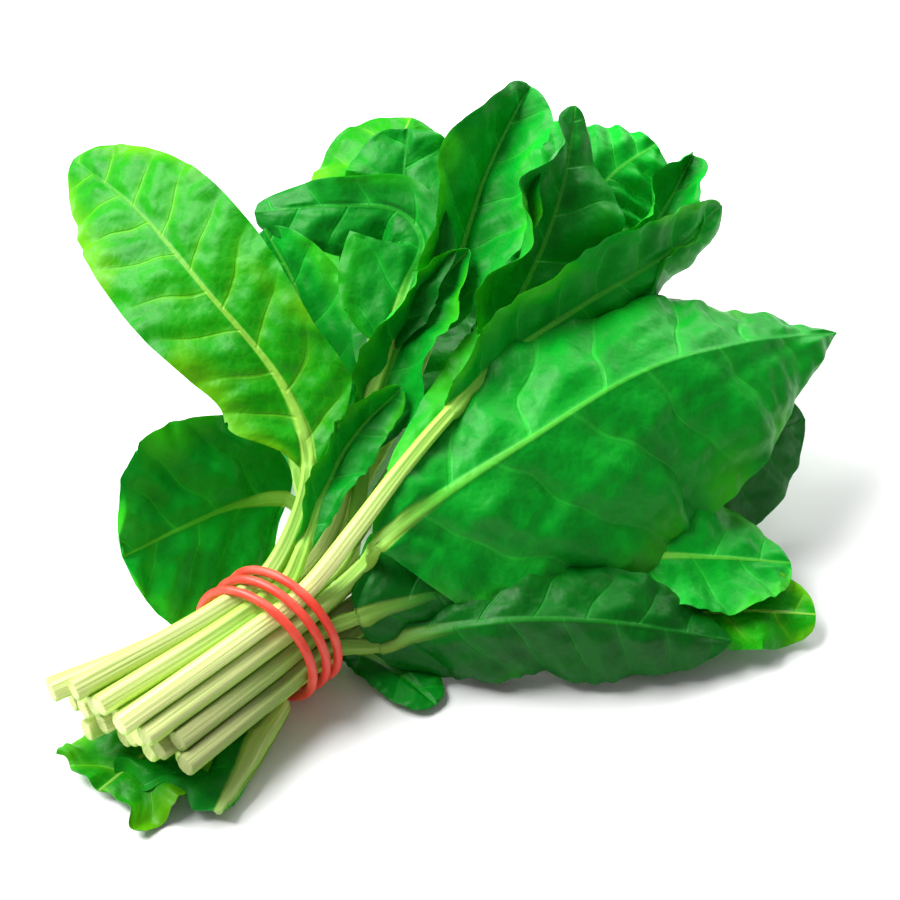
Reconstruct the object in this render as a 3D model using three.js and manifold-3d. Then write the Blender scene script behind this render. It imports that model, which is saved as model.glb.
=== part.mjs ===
// Bunch of spinach lying on its side, tied with one rubber band wound three times round the stems.
//
// Every leaf grew as one piece, so its stem and its blade are one node. The bunch lies along +X: the
// cut stem ends are at -X, the leaf tips at +X, +Y is to the left of the bunch and +Z is up.
// Millimetres. While it is drawn the band is near X = 0 and the table is at Z = 0. The last lines
// move the finished bunch so that its origin is the middle of its underside.

import * as THREE from "three";
import Module from "manifold-3d";

const wasm = await Module();
wasm.setup();

// ---- driving sizes, mm ----------------------------------------------------------------------

// Radius along a stem and its rib: the rib is thinned at ribShare of the blade.
const STEM = { cut: 3.1, band: 2.95, neck: 2.1, rib: 1, ribShare: 0.3, ribTip: 0.35 };
const STEM_SIDES = 6;
const RIB_REACH = 0.72;          // the raised rib runs this far along the blade
const BLADE_THICK = 0.8;
const BLADE_MIN_HALF = 0.5;      // half width where a blade starts and ends
const MIN_CURL = 0.01;           // degrees, so that a straight half is still an arc
const LOBE = { at: 0.14, spread: 0.07 };  // basal lobes of an arrow-shaped leaf
const RUFFLE = { power: 1.6, sideShift: 2 };  // how it grows outwards, radians between the halves
const CROSS_STEPS = 2;           // facets from rib to margin
const STEM_STEPS = 11;
const BLADE_STEPS = 10;
const LENGTH_STEPS = 400;        // for measuring along an axis
const GAP = 0.34;                // clearance between neighbouring pieces

const BAND = { radius: 1.3, sides: 6, turns: 3, knots: 84, spacing: 4.9, evenness: 0.8 };
const BAND_OVAL = { halfY: 19.1, halfZ: 18.5 };        // to the middle of the band
const BAND_LIE = { x: 2.3, bow: 1.5, bowAngle: 156 };  // middle, and the lean towards the leaves
// Where the end of the band crosses back, in degrees and as a share of its length, how far out it
// climbs, and the parts of the crossing over which it climbs, runs back and drops.
const CROSSING = { start: 350, share: 0.09, lift: 3, climb: [0.3, 0.55], back: [0.45, 0.85], drop: [0.8, 1] };

const BUNDLE = { y: 0, z: 20, pitch: 6.5, rowPitch: 5.2 };
const BUNDLE_ROWS = [3, 4, 5, 5, 4, 3];                   // stems in each layer, lowest first
const BUNDLE_FIRST = [0.75, 1.25, 1.75, 2.25, 1.75, 1.25];  // place of each layer's leftmost stem
const GRIP = { from: -9, to: 12 };                        // stems run side by side between these X

const LEAF_FAN = { x: 32, y: 1.2, z: 1.27, lift: 3.5 };   // the same spread past the band
const CUT_FAN = { y: 1.4, z: 0.84, shift: 4, lift: 1.5 };  // how the cut ends spread from the bundle

// ---- colours --------------------------------------------------------------------------------

const GREENS = {
  light: new THREE.MeshStandardMaterial({ color: "#62bd2a", roughness: 0.5, metalness: 0 }),
  mid: new THREE.MeshStandardMaterial({ color: "#1f9a2b", roughness: 0.45, metalness: 0 }),
  deep: new THREE.MeshStandardMaterial({ color: "#0b6b22", roughness: 0.4, metalness: 0 }),
};
const RED_RUBBER = new THREE.MeshStandardMaterial({ color: "#e0433c", roughness: 0.55, metalness: 0 });

// ---- the leaves -----------------------------------------------------------------------------
//
// slot   [layer, place] of the stem inside the band, layer 0 lowest, place 0 leftmost
// cut    X of the cut end, and how far it is moved sideways and up from the even fan
// root   instead of a cut: the leaf lies the other way round and starts here
// keep   share of such a blade that is left, the rest is cut off
// long   true for a stem that runs on with the others before it turns off
// route  points after the band along the stem and the rib, ending at the tip
// blade  index in route of the point where the blade begins
// half   [left, right] half widths of the blade, mm: one number each, or a list along the blade
// widest where along the blade it is widest
// full   how quickly it fills out [from the base, from the tip] (low is rounder)
// face   directions that the upper side looks in at the start, the middle and the end of the blade
// fold   degrees that the [left, right] halves rise from flat at the start, middle and end
// curl   further degrees that each half turns by, from the rib out to its margin
// wave   [height mm, waves along the blade, starting angle in degrees] of the ruffled margin
// lobe   height of the [left, right] basal lobes as a share of the half width
// stout  how many times thicker the rib is than usual

const LEAVES = [
  {
    name: "leaf_large_front", green: "mid", long: true, slot: [4, 3], cut: [-50, 0, 0],
    route: [
      [32, -14, 43], [52, -19, 50], [77, -28, 59],
      [116, -39, 67], [150, -49, 62], [191, -56, 45],
    ],
    blade: 0, half: [[16, 38, 46, 42, 34], [48, 57, 55, 50, 38]], widest: 0.42, full: [0.5, 1],
    face: [[-0.3, -0.3, 0.9], [-0.1, -0.1, 1], [0, -0.1, 1]],
    fold: [[0, 0, -10], [-25, -38, -35]], curl: [[0, -10, -15], [-10, -25, -15]],
    wave: [2, 2.5, 40], lobe: [0, 0.25],
  },
  {
    name: "leaf_light_left", green: "light", slot: [5, 0], cut: [-54, 0, 0],
    route: [[35, 15, 51], [43, 31, 66], [44, 63, 85], [50, 98, 93], [55, 131, 92]],
    blade: 0, half: [23, 22], widest: 0.55, full: [0.7, 0.57],
    face: [[-0.55, -0.5, 0.65], [-0.55, -0.5, 0.65], [-0.55, -0.4, 0.7]],
    fold: [[10, 5, 0], [10, 5, 0]], curl: [[10, 0, -10], [10, 0, -20]],
    wave: [1.5, 3, 0], lobe: [0.25, 0.25],
  },
  {
    name: "leaf_centre_flopped", green: "deep", long: true, slot: [4, 1], cut: [-52, 0, 0],
    route: [
      [54, 15, 50], [77, 24, 65], [91, 29, 77], [101, 32, 86],
      [102, 42, 91], [94, 57, 90], [79, 79, 85],
    ],
    blade: 1, half: [[26, 20, 11], [15, 10, 9]], widest: 0.4, full: [0.5, 0.3],
    face: [[-0.6, -0.6, 0.5], [-0.6, -0.6, 0.5], [-0.3, -0.3, 0.9]],
    fold: [[0, -5, -10], [30, 10, 0]], curl: [[-10, -20, -10], [40, 10, 0]],
    wave: [2, 2.5, 60], lobe: [0, 0],
  },
  {
    name: "leaf_rolled_long", green: "mid", slot: [5, 2], cut: [-54, 0, 0],
    route: [
      [27, -9, 47], [48, -8, 56], [70, -6.5, 62], [95, -6, 67],
      [124, -11, 72], [148, -15, 74], [167, -17, 76], [182, -16, 78],
    ],
    blade: 2, half: [17, 18], widest: 0.5, full: [0.55, 0.55],
    face: [[-0.2, -0.6, 0.75], [-0.2, -0.6, 0.75], [-0.2, -0.6, 0.75]],
    fold: [[20, 10, 10], [-20, -30, -20]], curl: [[30, 60, 60], [-30, -60, -60]],
    wave: [1, 3, 0], lobe: [0, 0],
  },
  {
    name: "leaf_ruffled_tall", green: "mid", long: true, slot: [3, 2], cut: [-48, 0, 0],
    route: [[72, 5, 49], [92, 2.5, 58], [115, 6, 72], [131, 10, 82], [146, 16, 93], [162, 26, 105]],
    blade: 1, half: [[15, 23, 12], [12, 23, 15]], widest: 0.5, full: [0.5, 0.6],
    face: [[-0.5, -0.7, 0.5], [-0.5, -0.7, 0.5], [-0.6, -0.7, 0.4]],
    fold: [[30, 30, 25], [0, -5, -20]], curl: [[10, 50, 30], [0, -10, -10]],
    wave: [5, 2.5, 90], lobe: [0, 0],
  },
  {
    name: "leaf_ruffled_inner", green: "mid", long: true, slot: [3, 1], cut: [-52, 0, 0],
    route: [[66, 14, 44], [92, 20, 65], [111, 26, 79], [129, 33, 92], [146, 38, 101], [160, 42, 106]],
    blade: 1, half: [[21, 22, 16], [18, 23, 18]], widest: 0.5, full: [0.5, 0.55],
    face: [[-0.6, -0.6, 0.5], [-0.6, -0.6, 0.5], [-0.5, -0.6, 0.5]],
    fold: [[45, 50, 35], [30, 35, 30]], curl: [[10, 0, 0], [10, 30, 20]],
    wave: [3, 2, 200], lobe: [0, 0],
  },
  {
    name: "leaf_round_left", green: "mid", long: true, slot: [3, 0], cut: [-53, 3, 0],
    route: [[41, 23, 21], [42, 32, 24], [29, 39, 27], [8, 41, 31], [-12, 43, 33]],
    blade: 1, half: [34, 31], widest: 0.55, full: [0.5, 0.41],
    face: [[-0.4, -0.8, 0.5], [-0.35, -0.8, 0.5], [-0.35, -0.8, 0.5]],
    fold: [[0, 0, 0], [0, 0, 0]], curl: [[0, 10, 10], [0, 15, 10]],
    wave: [1.5, 2, 30], lobe: [0, 0],
  },
  {
    name: "leaf_savoy_right", green: "mid", long: true, slot: [3, 3], cut: [-49, 0, 0],
    route: [[76, -1.5, 42], [112, 6, 58], [143, 12, 72], [165, 14, 83], [185, 12, 86]],
    blade: 1, half: [31, 28], widest: 0.62, full: [0.6, 0.4],
    face: [[-0.4, -0.4, 0.8], [-0.5, -0.5, 0.7], [-0.2, -0.4, 0.9]],
    fold: [[10, 0, -10], [10, 0, -10]], curl: [[0, -20, -40], [0, -20, -40]],
    wave: [2, 3, 0], lobe: [0, 0],
  },
  {
    name: "leaf_curled_tip", green: "mid", long: true, slot: [2, 2], cut: [-48, 0, 0],
    route: [[78, -10, 34], [112, -10, 55], [143, -8, 68], [167, -4.5, 77], [188, 0, 86]],
    blade: 1, half: [12, 13], widest: 0.65, full: [0.7, 0.38],
    face: [[-0.4, -0.5, 0.7], [-0.4, -0.5, 0.7], [-0.5, -0.5, 0.6]],
    fold: [[20, 30, 30], [10, 10, 20]], curl: [[20, 50, 60], [20, 40, 50]],
    wave: [3, 3, 120], lobe: [0, 0],
  },
  {
    name: "leaf_back_cupped", green: "deep", long: true, slot: [2, 1], cut: [-50, 0, 0],
    route: [[64, 27, 37], [90, 41, 53], [110, 52, 67], [124, 61, 79], [135, 69, 91]],
    blade: 1, half: [18, 18], widest: 0.62, full: [0.5, 0.31],
    face: [[-0.7, -0.5, 0.4], [-0.7, -0.5, 0.4], [-0.6, -0.5, 0.5]],
    fold: [[10, 10, 10], [10, 10, 10]], curl: [[10, 0, -20], [20, 0, -20]],
    wave: [4, 3, 0], lobe: [0, 0],
  },
  {
    name: "leaf_back_dome", green: "light", long: true, slot: [2, 0], cut: [-50, 3, 0],
    route: [[66, 42, 34], [98, 61, 48], [128, 77, 60], [148, 87, 67], [163, 94, 70]],
    blade: 1, half: [26, 26], widest: 0.6, full: [0.6, 0.4],
    face: [[-0.5, -0.4, 0.75], [-0.5, -0.4, 0.75], [-0.1, -0.1, 0.9]],
    fold: [[0, 0, 0], [0, 0, 0]], curl: [[0, -30, -30], [0, -30, -30]],
    wave: [2, 2.5, 0], lobe: [0, 0],
  },
  {
    name: "leaf_low_front", green: "deep", slot: [2, 4], cut: [-45, 0, 0],
    route: [[24, -21, 14], [35, -33, 20], [49, -51, 26], [69, -71, 23], [94, -92, 11]],
    blade: 0, half: [20, 22], widest: 0.48, full: [0.45, 0.65],
    face: [[-0.3, -0.3, 0.9], [-0.2, -0.2, 1], [-0.2, -0.2, 1]],
    fold: [[0, 0, 0], [-50, -60, -40]], curl: [[0, -10, 0], [-10, -20, -20]],
    wave: [1.5, 3, 0], lobe: [0.15, 0.12],
  },
  {
    name: "leaf_kinked_front", green: "deep", slot: [3, 4], cut: [-43, 0, 0],
    route: [[21, -16, 24], [34, -25, 27], [48, -34, 28], [66, -45, 24], [80, -54, 14]],
    blade: 0, half: [22, 24], widest: 0.5, full: [0.38, 0.6],
    face: [[-0.4, -0.5, 0.8], [-0.3, -0.4, 0.9], [-0.2, -0.3, 0.9]],
    fold: [[0, 0, 0], [-40, -50, -30]], curl: [[0, 0, 0], [-10, -20, -20]],
    wave: [1, 2, 0], lobe: [0.2, 0.3],
  },
  {
    name: "leaf_grey_front", green: "mid", long: true, slot: [1, 2], cut: [-46, 0, 0],
    route: [[56, -28, 20], [86, -54, 25], [108, -74, 22], [128, -88, 14]],
    blade: 1, half: [24, 18], widest: 0.55, full: [0.7, 0.57],
    face: [[-0.2, -0.3, 0.9], [-0.2, -0.3, 0.9], [-0.1, -0.2, 1]],
    fold: [[0, 0, -10], [-10, -10, -10]], curl: [[0, -10, -20], [0, 30, 40]],
    wave: [1.5, 2.5, 0], lobe: [0, 0],
  },
  {
    name: "leaf_under_large", green: "deep", long: true, slot: [2, 3], cut: [-46, 0, 0],
    route: [[74, -26, 27], [106, -41, 31], [141, -55, 30], [171, -61, 26]],
    blade: 0, half: [22, 31], widest: 0.55, full: [0.7, 0.57],
    face: [[-0.2, -0.5, 0.8], [-0.2, -0.7, 0.7], [-0.1, -0.8, 0.6]],
    fold: [[0, 0, 0], [-10, -10, -10]], curl: [[0, 0, 0], [0, -10, -10]],
    wave: [1.5, 2, 0], lobe: [0, 0],
  },
  {
    name: "leaf_narrow_middle", green: "mid", slot: [5, 1], cut: [-53, 0, 0],
    route: [[19, 3, 38], [33, 8.5, 46], [51, 13, 54], [70, 12, 61]],
    blade: 0, half: [10, 9], widest: 0.6, full: [0.8, 0.53],
    face: [[-0.5, -0.6, 0.6], [-0.5, -0.6, 0.6], [-0.5, -0.6, 0.6]],
    fold: [[40, 40, 30], [30, 20, 20]], curl: [[20, 20, 20], [20, 20, 20]],
    wave: [1, 2.5, 0], lobe: [0, 0],
  },
  {
    name: "leaf_curled_middle", green: "mid", long: true, slot: [4, 2], cut: [-50, 0, 0],
    route: [[56, 13, 46], [76, 21, 62], [94, 23, 75], [108, 20, 85]],
    blade: 0, half: [14, 15], widest: 0.45, full: [0.4, 0.6],
    face: [[-0.6, -0.6, 0.5], [-0.6, -0.6, 0.5], [-0.6, -0.6, 0.5]],
    fold: [[20, 20, 20], [20, 20, 20]], curl: [[30, 60, 60], [30, 60, 60]],
    wave: [2, 2, 0], lobe: [0, 0],
  },
  {
    name: "leaf_behind_light", green: "mid", long: true, slot: [4, 0], cut: [-56, 3, 0],
    route: [[48, 24, 42], [66, 44, 59], [75, 60, 72], [78, 74, 82]],
    blade: 0, half: [15, 15], widest: 0.55, full: [0.65, 0.53],
    face: [[-0.6, -0.5, 0.6], [-0.6, -0.5, 0.6], [-0.6, -0.5, 0.6]],
    fold: [[10, 10, 10], [10, 10, 10]], curl: [[0, 10, 0], [10, 20, 10]],
    wave: [1.5, 2, 0], lobe: [0, 0],
  },
  {
    name: "leaf_crumpled_tip", green: "light", long: true, slot: [1, 3], cut: [-42, 0, 0],
    route: [[52, -36, 8], [84, -68, 11], [106, -88, 11], [122, -102, 7]],
    blade: 1, half: [14, 12], widest: 0.6, full: [0.7, 0.47],
    face: [[0, 0, 1], [0, 0, 1], [-0.2, -0.2, 1]],
    fold: [[0, 0, 0], [0, -10, -10]], curl: [[0, 20, 40], [0, -20, -20]],
    wave: [2.5, 3, 0], lobe: [0, 0],
  },
  {
    name: "leaf_small_under", green: "deep", slot: [0, 1], cut: [-24, -6.5, -2.5],
    route: [[22, -5, 5], [27, -22, 3.5], [26, -41, 2.5]],
    blade: 0, half: [9, 9], widest: 0.6, full: [0.6, 0.4],
    face: [[0, 0, 1], [0, 0, 1], [0, 0, 1]],
    fold: [[0, 0, 0], [0, 0, 0]], curl: [[0, 0, 0], [0, 0, 0]],
    wave: [0, 2, 0], lobe: [0, 0],
  },
  {
    name: "leaf_back_low", green: "mid", long: true, slot: [1, 0], cut: [-52, 0, 0],
    route: [[54, 40, 22], [84, 72, 26], [112, 98, 10]],
    blade: 0, half: [24, 24], widest: 0.5, full: [0.65, 0.65],
    face: [[-0.2, 0.2, 1], [-0.2, 0.2, 1], [0, 0.2, 1]],
    fold: [[-10, -10, -10], [-10, -10, -10]], curl: [[-20, -30, -20], [-20, -30, -20]],
    wave: [1.5, 2.5, 0], lobe: [0, 0],
  },
  {
    name: "leaf_back_long", green: "deep", long: true, slot: [1, 1], cut: [-47, 0, 0],
    route: [[74, 32, 24], [112, 56, 32], [146, 76, 28], [166, 86, 12]],
    blade: 0, half: [26, 26], widest: 0.55, full: [0.65, 0.53],
    face: [[-0.2, 0.1, 1], [-0.2, 0.1, 1], [0, 0.1, 1]],
    fold: [[-10, -10, -10], [-10, -10, -10]], curl: [[-20, -30, -20], [-20, -30, -20]],
    wave: [2, 2.5, 0], lobe: [0, 0],
  },
  {
    name: "leaf_cut_left", green: "light", slot: [0, 0], root: [19, 5.5, 6.4], keep: 0.72,
    route: [[-12, 3.5, 7], [-36, 4.5, 5], [-58, 5, 3.5]],
    blade: 0, half: [20, 18], widest: 0.55, full: [0.6, 0.49],
    face: [[0, 0, 1], [0, 0, 1], [0, 0, 1]],
    fold: [[0, 0, 0], [20, 10, 0]], curl: [[0, 0, 0], [10, 10, 0]],
    wave: [3, 3, 0], lobe: [0, 0],
  },
  {
    name: "leaf_cut_right", green: "deep", slot: [0, 2], root: [15, -8.3, 6.6], keep: 0.72,
    route: [[-5.5, -12, 7], [-17, -16, 6.5], [-30, -21, 5.5], [-43, -25, 4.5]],
    blade: 0, half: [2, 34], widest: 0.55, full: [0.4, 0.49],
    face: [[0, 0, 1], [0, 0, 1], [0, 0, 1]],
    fold: [[0, 0, 0], [0, 0, 0]], curl: [[0, 0, 0], [0, 0, 0]],
    wave: [2, 3, 90], lobe: [0, 0], stout: 3.4,
  },
];

// ---- surfaces -------------------------------------------------------------------------------

// Closed skin over a row of rings that all have the same number of points. Rings turn
// anticlockwise as seen from the end they lead to. Open rows are capped, a loop joins its ends.
function skin(rings, loop = false) {
  const count = rings[0].length;
  const vertices = rings.flat().flatMap((point) => point.toArray());
  const triangles = [];
  const spans = loop ? rings.length : rings.length - 1;
  for (let ring = 0; ring < spans; ring += 1) {
    const here = ring * count;
    const next = ((ring + 1) % rings.length) * count;
    for (let side = 0; side < count; side += 1) {
      const after = (side + 1) % count;
      // The second half of a ring runs back under the first, so its quads are split along the other
      // diagonal: the two faces of a thin sheet then stay the same distance apart.
      if (side < count / 2) {
        triangles.push(here + side, here + after, next + after);
        triangles.push(here + side, next + after, next + side);
      } else {
        triangles.push(here + side, here + after, next + side);
        triangles.push(here + after, next + after, next + side);
      }
    }
  }
  if (!loop) {
    const last = (rings.length - 1) * count;
    for (let side = 1; side < count - 1; side += 1) {
      triangles.push(0, side + 1, side);
      triangles.push(last, last + side, last + side + 1);
    }
  }
  return new wasm.Manifold(new wasm.Mesh({
    numProp: 3,
    vertProperties: new Float32Array(vertices),
    triVerts: new Uint32Array(triangles),
  }));
}

// ---- leaf solids ----------------------------------------------------------------------------

// Value at a share from 0 to 1 of the way through an evenly spaced list, on a Catmull-Rom curve.
function through(values, share) {
  const last = values.length - 1;
  if (last === 0) {
    return values[0];
  }
  const place = THREE.MathUtils.clamp(share, 0, 1) * last;
  const first = Math.min(Math.floor(place), last - 1);
  const t = place - first;
  const start = values[first];
  const end = values[first + 1];
  const before = values[first - 1] ?? 2 * start - end;
  const after = values[first + 2] ?? 2 * end - start;
  return 0.5 * (
    2 * start + (end - before) * t
    + (2 * before - 5 * start + 4 * end - after) * t ** 2
    + (3 * start - before - 3 * end + after) * t ** 3
  );
}

function throughDirections(directions, share) {
  const [x, y, z] = [0, 1, 2].map((axis) => through(directions.map((direction) => direction[axis]), share));
  return new THREE.Vector3(x, y, z).normalize();
}

// Place of a slot in the tied bundle, as Y and Z.
function slotCentre([layer, place]) {
  return {
    y: BUNDLE.y + (BUNDLE_FIRST[layer] - place) * BUNDLE.pitch,
    z: BUNDLE.z + (layer - (BUNDLE_ROWS.length - 1) / 2) * BUNDLE.rowPitch,
  };
}

// The whole axis of a leaf: cut end, straight run under the band, then the route to the tip.
function leafAxis(leaf) {
  const slot = slotCentre(leaf.slot);
  const [cutX, sideways, up] = leaf.cut ?? [0, 0, 0];
  const cutEnd = [
    cutX,
    BUNDLE.y + (slot.y - BUNDLE.y) * CUT_FAN.y + CUT_FAN.shift + sideways,
    BUNDLE.z + (slot.z - BUNDLE.z) * CUT_FAN.z + CUT_FAN.lift + up,
  ];
  const fanned = [
    LEAF_FAN.x,
    BUNDLE.y + (slot.y - BUNDLE.y) * LEAF_FAN.y,
    BUNDLE.z + (slot.z - BUNDLE.z) * LEAF_FAN.z + LEAF_FAN.lift,
  ];
  const grip = [[GRIP.from, slot.y, slot.z], [GRIP.to, slot.y, slot.z]];
  const first = leaf.root ? [leaf.root, ...grip.reverse()] : [cutEnd, ...grip];
  const points = [...first, ...(leaf.long ? [fanned] : []), ...leaf.route];
  const curve = new THREE.CatmullRomCurve3(
    points.map((point) => new THREE.Vector3(...point)), false, "centripetal",
  );
  const lengths = curve.getLengths(LENGTH_STEPS);
  const stepAt = (index) => Math.round((LENGTH_STEPS * index) / (points.length - 1));
  const shareAt = (index) => lengths[stepAt(index)] / lengths[LENGTH_STEPS];
  const bladeIndex = points.length - leaf.route.length + leaf.blade;
  return { curve, bandShare: shareAt(1.5), bladeShare: shareAt(bladeIndex) };
}

// Point and directions on the axis: along it, to the left of the blade and out of its upper side.
function stationAt(leaf, axis, share) {
  const along = axis.curve.getTangentAt(share);
  const bladePart = Math.max(0, (share - axis.bladeShare) / (1 - axis.bladeShare));
  const left = throughDirections(leaf.face, bladePart).cross(along).normalize();
  const up = new THREE.Vector3().crossVectors(along, left);
  return { centre: axis.curve.getPointAt(share), along, left, up, bladePart };
}

// Stem radius: thick at the cut, squeezed by the band, thin at the neck, a fine rib at the end.
function stemRadius(leaf, axis, share) {
  const { mapLinear } = THREE.MathUtils;
  if (share < axis.bandShare) {
    return mapLinear(share, 0, axis.bandShare, STEM.cut, STEM.band);
  }
  if (share < axis.bladeShare) {
    return mapLinear(share, axis.bandShare, axis.bladeShare, STEM.band, STEM.neck);
  }
  const stout = leaf.stout ?? 1;
  const thinned = axis.bladeShare + STEM.ribShare * (1 - axis.bladeShare);
  if (share < thinned) {
    return mapLinear(share, axis.bladeShare, thinned, STEM.neck, STEM.rib * stout);
  }
  return mapLinear(share, thinned, 1, STEM.rib * stout, STEM.ribTip * stout);
}

function stemSolid(leaf, axis, grow = 0) {
  const end = axis.bladeShare + RIB_REACH * (1 - axis.bladeShare);
  const rings = [];
  for (let step = 0; step <= STEM_STEPS; step += 1) {
    const share = (end * step) / STEM_STEPS;
    const { centre, along, left, up } = stationAt(leaf, axis, share);
    if (step === STEM_STEPS) {
      centre.addScaledVector(along, grow);
    }
    const radius = stemRadius(leaf, axis, share) + grow;
    rings.push(Array.from({ length: STEM_SIDES }, (_, side) => {
      const angle = (2 * Math.PI * side) / STEM_SIDES;
      return centre.clone()
        .addScaledVector(left, radius * Math.cos(angle))
        .addScaledVector(up, radius * Math.sin(angle));
    }));
  }
  return skin(rings);
}

// Full half width of the blade at a share of its kept length.
function fullHalf(leaf, side, kept) {
  return through([leaf.half[side]].flat(), kept);
}

// Half width of the blade: 1 - x^2 to a power, where x falls from 1 at the base to 0 at the widest
// place and rises to 1 at the tip, with two basal lobes.
function halfWidth(leaf, side, kept) {
  const part = kept * (leaf.keep ?? 1);
  const before = part < leaf.widest;
  const away = before ? 1 - part / leaf.widest : (part - leaf.widest) / (1 - leaf.widest);
  const oval = (1 - away ** 2) ** leaf.full[before ? 0 : 1];
  const lobe = leaf.lobe[side] * Math.exp(-(((part - LOBE.at) / LOBE.spread) ** 2));
  return fullHalf(leaf, side, kept) * (oval + lobe);
}

// One half of a cross-section bends from the rib like an arc: it starts at the fold angle and has
// turned by the curl angle at the margin. Returns the offsets sideways and upwards at a share of
// the way out, with the upward normal there.
function bladePoint(leaf, side, part, out, grow) {
  const half = Math.max(halfWidth(leaf, side, part), BLADE_MIN_HALF) + grow;
  const fold = THREE.MathUtils.degToRad(through(leaf.fold[side], part));
  const curl = THREE.MathUtils.degToRad(through(leaf.curl[side], part) || MIN_CURL);
  const angle = fold + curl * out;
  const [height, waves, phase] = leaf.wave;
  const turns = 2 * Math.PI * waves * part + THREE.MathUtils.degToRad(phase) + side * RUFFLE.sideShift;
  const share = Math.min(1, halfWidth(leaf, side, part) / fullHalf(leaf, side, part));
  const ripple = height * share * out ** RUFFLE.power * Math.sin(turns);
  return {
    sideways: (half * (Math.sin(angle) - Math.sin(fold))) / curl - ripple * Math.sin(angle),
    upwards: (half * (Math.cos(fold) - Math.cos(angle))) / curl + ripple * Math.cos(angle),
    normal: [-Math.sin(angle), Math.cos(angle)],
  };
}

function bladeSolid(leaf, axis, grow = 0) {
  const rings = [];
  for (let step = 0; step <= BLADE_STEPS; step += 1) {
    const part = step / BLADE_STEPS;
    const share = axis.bladeShare + part * (1 - axis.bladeShare);
    const { centre, along, left, up } = stationAt(leaf, axis, share);
    if (step === BLADE_STEPS) {
      centre.addScaledVector(along, grow);
    }
    const face = (lift) => {
      const row = [];
      for (let column = -CROSS_STEPS; column <= CROSS_STEPS; column += 1) {
        const side = column < 0 ? 0 : 1;
        const sign = column < 0 ? 1 : -1;
        const place = bladePoint(leaf, side, part, Math.abs(column) / CROSS_STEPS, grow);
        row.push(centre.clone()
          .addScaledVector(left, sign * (place.sideways + lift * place.normal[0]))
          .addScaledVector(up, place.upwards + lift * place.normal[1]));
      }
      return row;
    };
    const lift = BLADE_THICK / 2 + grow;
    rings.push([...face(lift), ...face(-lift).reverse()]);
  }
  return skin(rings);
}

// ---- rubber band ----------------------------------------------------------------------------

// The band is one endless loop on an oval round the stems. Each turn lies beside the one before,
// and the end of the last turn climbs over the others, low on the far side, to meet the first.
function bandLine() {
  const { smoothstep, degToRad } = THREE.MathUtils;
  const points = Array.from({ length: BAND.knots }, (_, knot) => {
    const travel = knot / BAND.knots;
    const angle = degToRad(CROSSING.start) + 2 * Math.PI * BAND.turns * travel;
    const crossing = Math.max(0, (travel - 1 + CROSSING.share) / CROSSING.share);
    const onward = Math.min(1, travel / (1 - CROSSING.share)) ** BAND.evenness;
    const advance = onward - smoothstep(crossing, ...CROSSING.back);
    const lift = smoothstep(crossing, ...CROSSING.climb) - smoothstep(crossing, ...CROSSING.drop);
    const bow = BAND_LIE.bow * Math.cos(angle - degToRad(BAND_LIE.bowAngle));
    return new THREE.Vector3(
      BAND_LIE.x + bow + (advance - 0.5) * BAND.turns * BAND.spacing,
      BUNDLE.y + (BAND_OVAL.halfY + CROSSING.lift * lift) * Math.cos(angle),
      BUNDLE.z + (BAND_OVAL.halfZ + CROSSING.lift * lift) * Math.sin(angle),
    );
  });
  return new THREE.CatmullRomCurve3(points, true, "centripetal");
}

function bandSolid(grow = 0) {
  const line = bandLine();
  const rings = Array.from({ length: BAND.knots }, (_, step) => {
    const share = step / BAND.knots;
    const along = line.getTangentAt(share);
    const centre = line.getPointAt(share);
    const across = new THREE.Vector3(1, 0, 0).addScaledVector(along, -along.x).normalize();
    const outwards = new THREE.Vector3().crossVectors(along, across);
    return Array.from({ length: BAND.sides }, (__, side) => {
      const turn = (2 * Math.PI * side) / BAND.sides;
      return centre.clone()
        .addScaledVector(across, (BAND.radius + grow) * Math.cos(turn))
        .addScaledVector(outwards, (BAND.radius + grow) * Math.sin(turn));
    });
  });
  return skin(rings, true);
}

// ---- the bunch ------------------------------------------------------------------------------

// Largest separate lump of a solid: what is left of a blade after its neighbours have cut it.
function largestLump(solid) {
  return solid.decompose().reduce((best, lump) => (lump.volume() > best.volume() ? lump : best));
}

function cutBy(solid, cutters) {
  return cutters.reduce((left, cutter) => left.subtract(cutter), solid);
}

function toMesh(name, solid, material) {
  const { vertProperties, triVerts } = solid.getMesh();
  const geometry = new THREE.BufferGeometry();
  geometry.setAttribute("position", new THREE.BufferAttribute(vertProperties, 3));
  geometry.setIndex(new THREE.BufferAttribute(triVerts, 1));
  geometry.computeVertexNormals();
  const mesh = new THREE.Mesh(geometry, material);
  mesh.name = name;
  return mesh;
}

const axes = LEAVES.map(leafAxis);
const grownStems = LEAVES.map((leaf, index) => stemSolid(leaf, axes[index], GAP));
const grownBlades = LEAVES.map((leaf, index) => bladeSolid(leaf, axes[index], GAP));
const grownBand = bandSolid(GAP);

// A stem gives way to the stems listed before it. A blade gives way to every other stem and to the
// blades listed before it. Both give way to the band.
const bunch = new THREE.Group();
LEAVES.forEach((leaf, index) => {
  const otherStems = grownStems.filter((_, other) => other !== index);
  const stem = cutBy(stemSolid(leaf, axes[index]), grownStems.slice(0, index));
  const blade = cutBy(bladeSolid(leaf, axes[index]), [...otherStems, ...grownBlades.slice(0, index)]);
  const solid = largestLump(stem.add(blade).subtract(grownBand));
  bunch.add(toMesh(leaf.name, solid, GREENS[leaf.green]));
});
bunch.add(toMesh("rubber_band", bandSolid(), RED_RUBBER));

// Origin at the middle of the underside.
const extent = new THREE.Box3().setFromObject(bunch);
bunch.position.set(
  -(extent.min.x + extent.max.x) / 2,
  -(extent.min.y + extent.max.y) / 2,
  -extent.min.z,
);

export default bunch;
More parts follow.
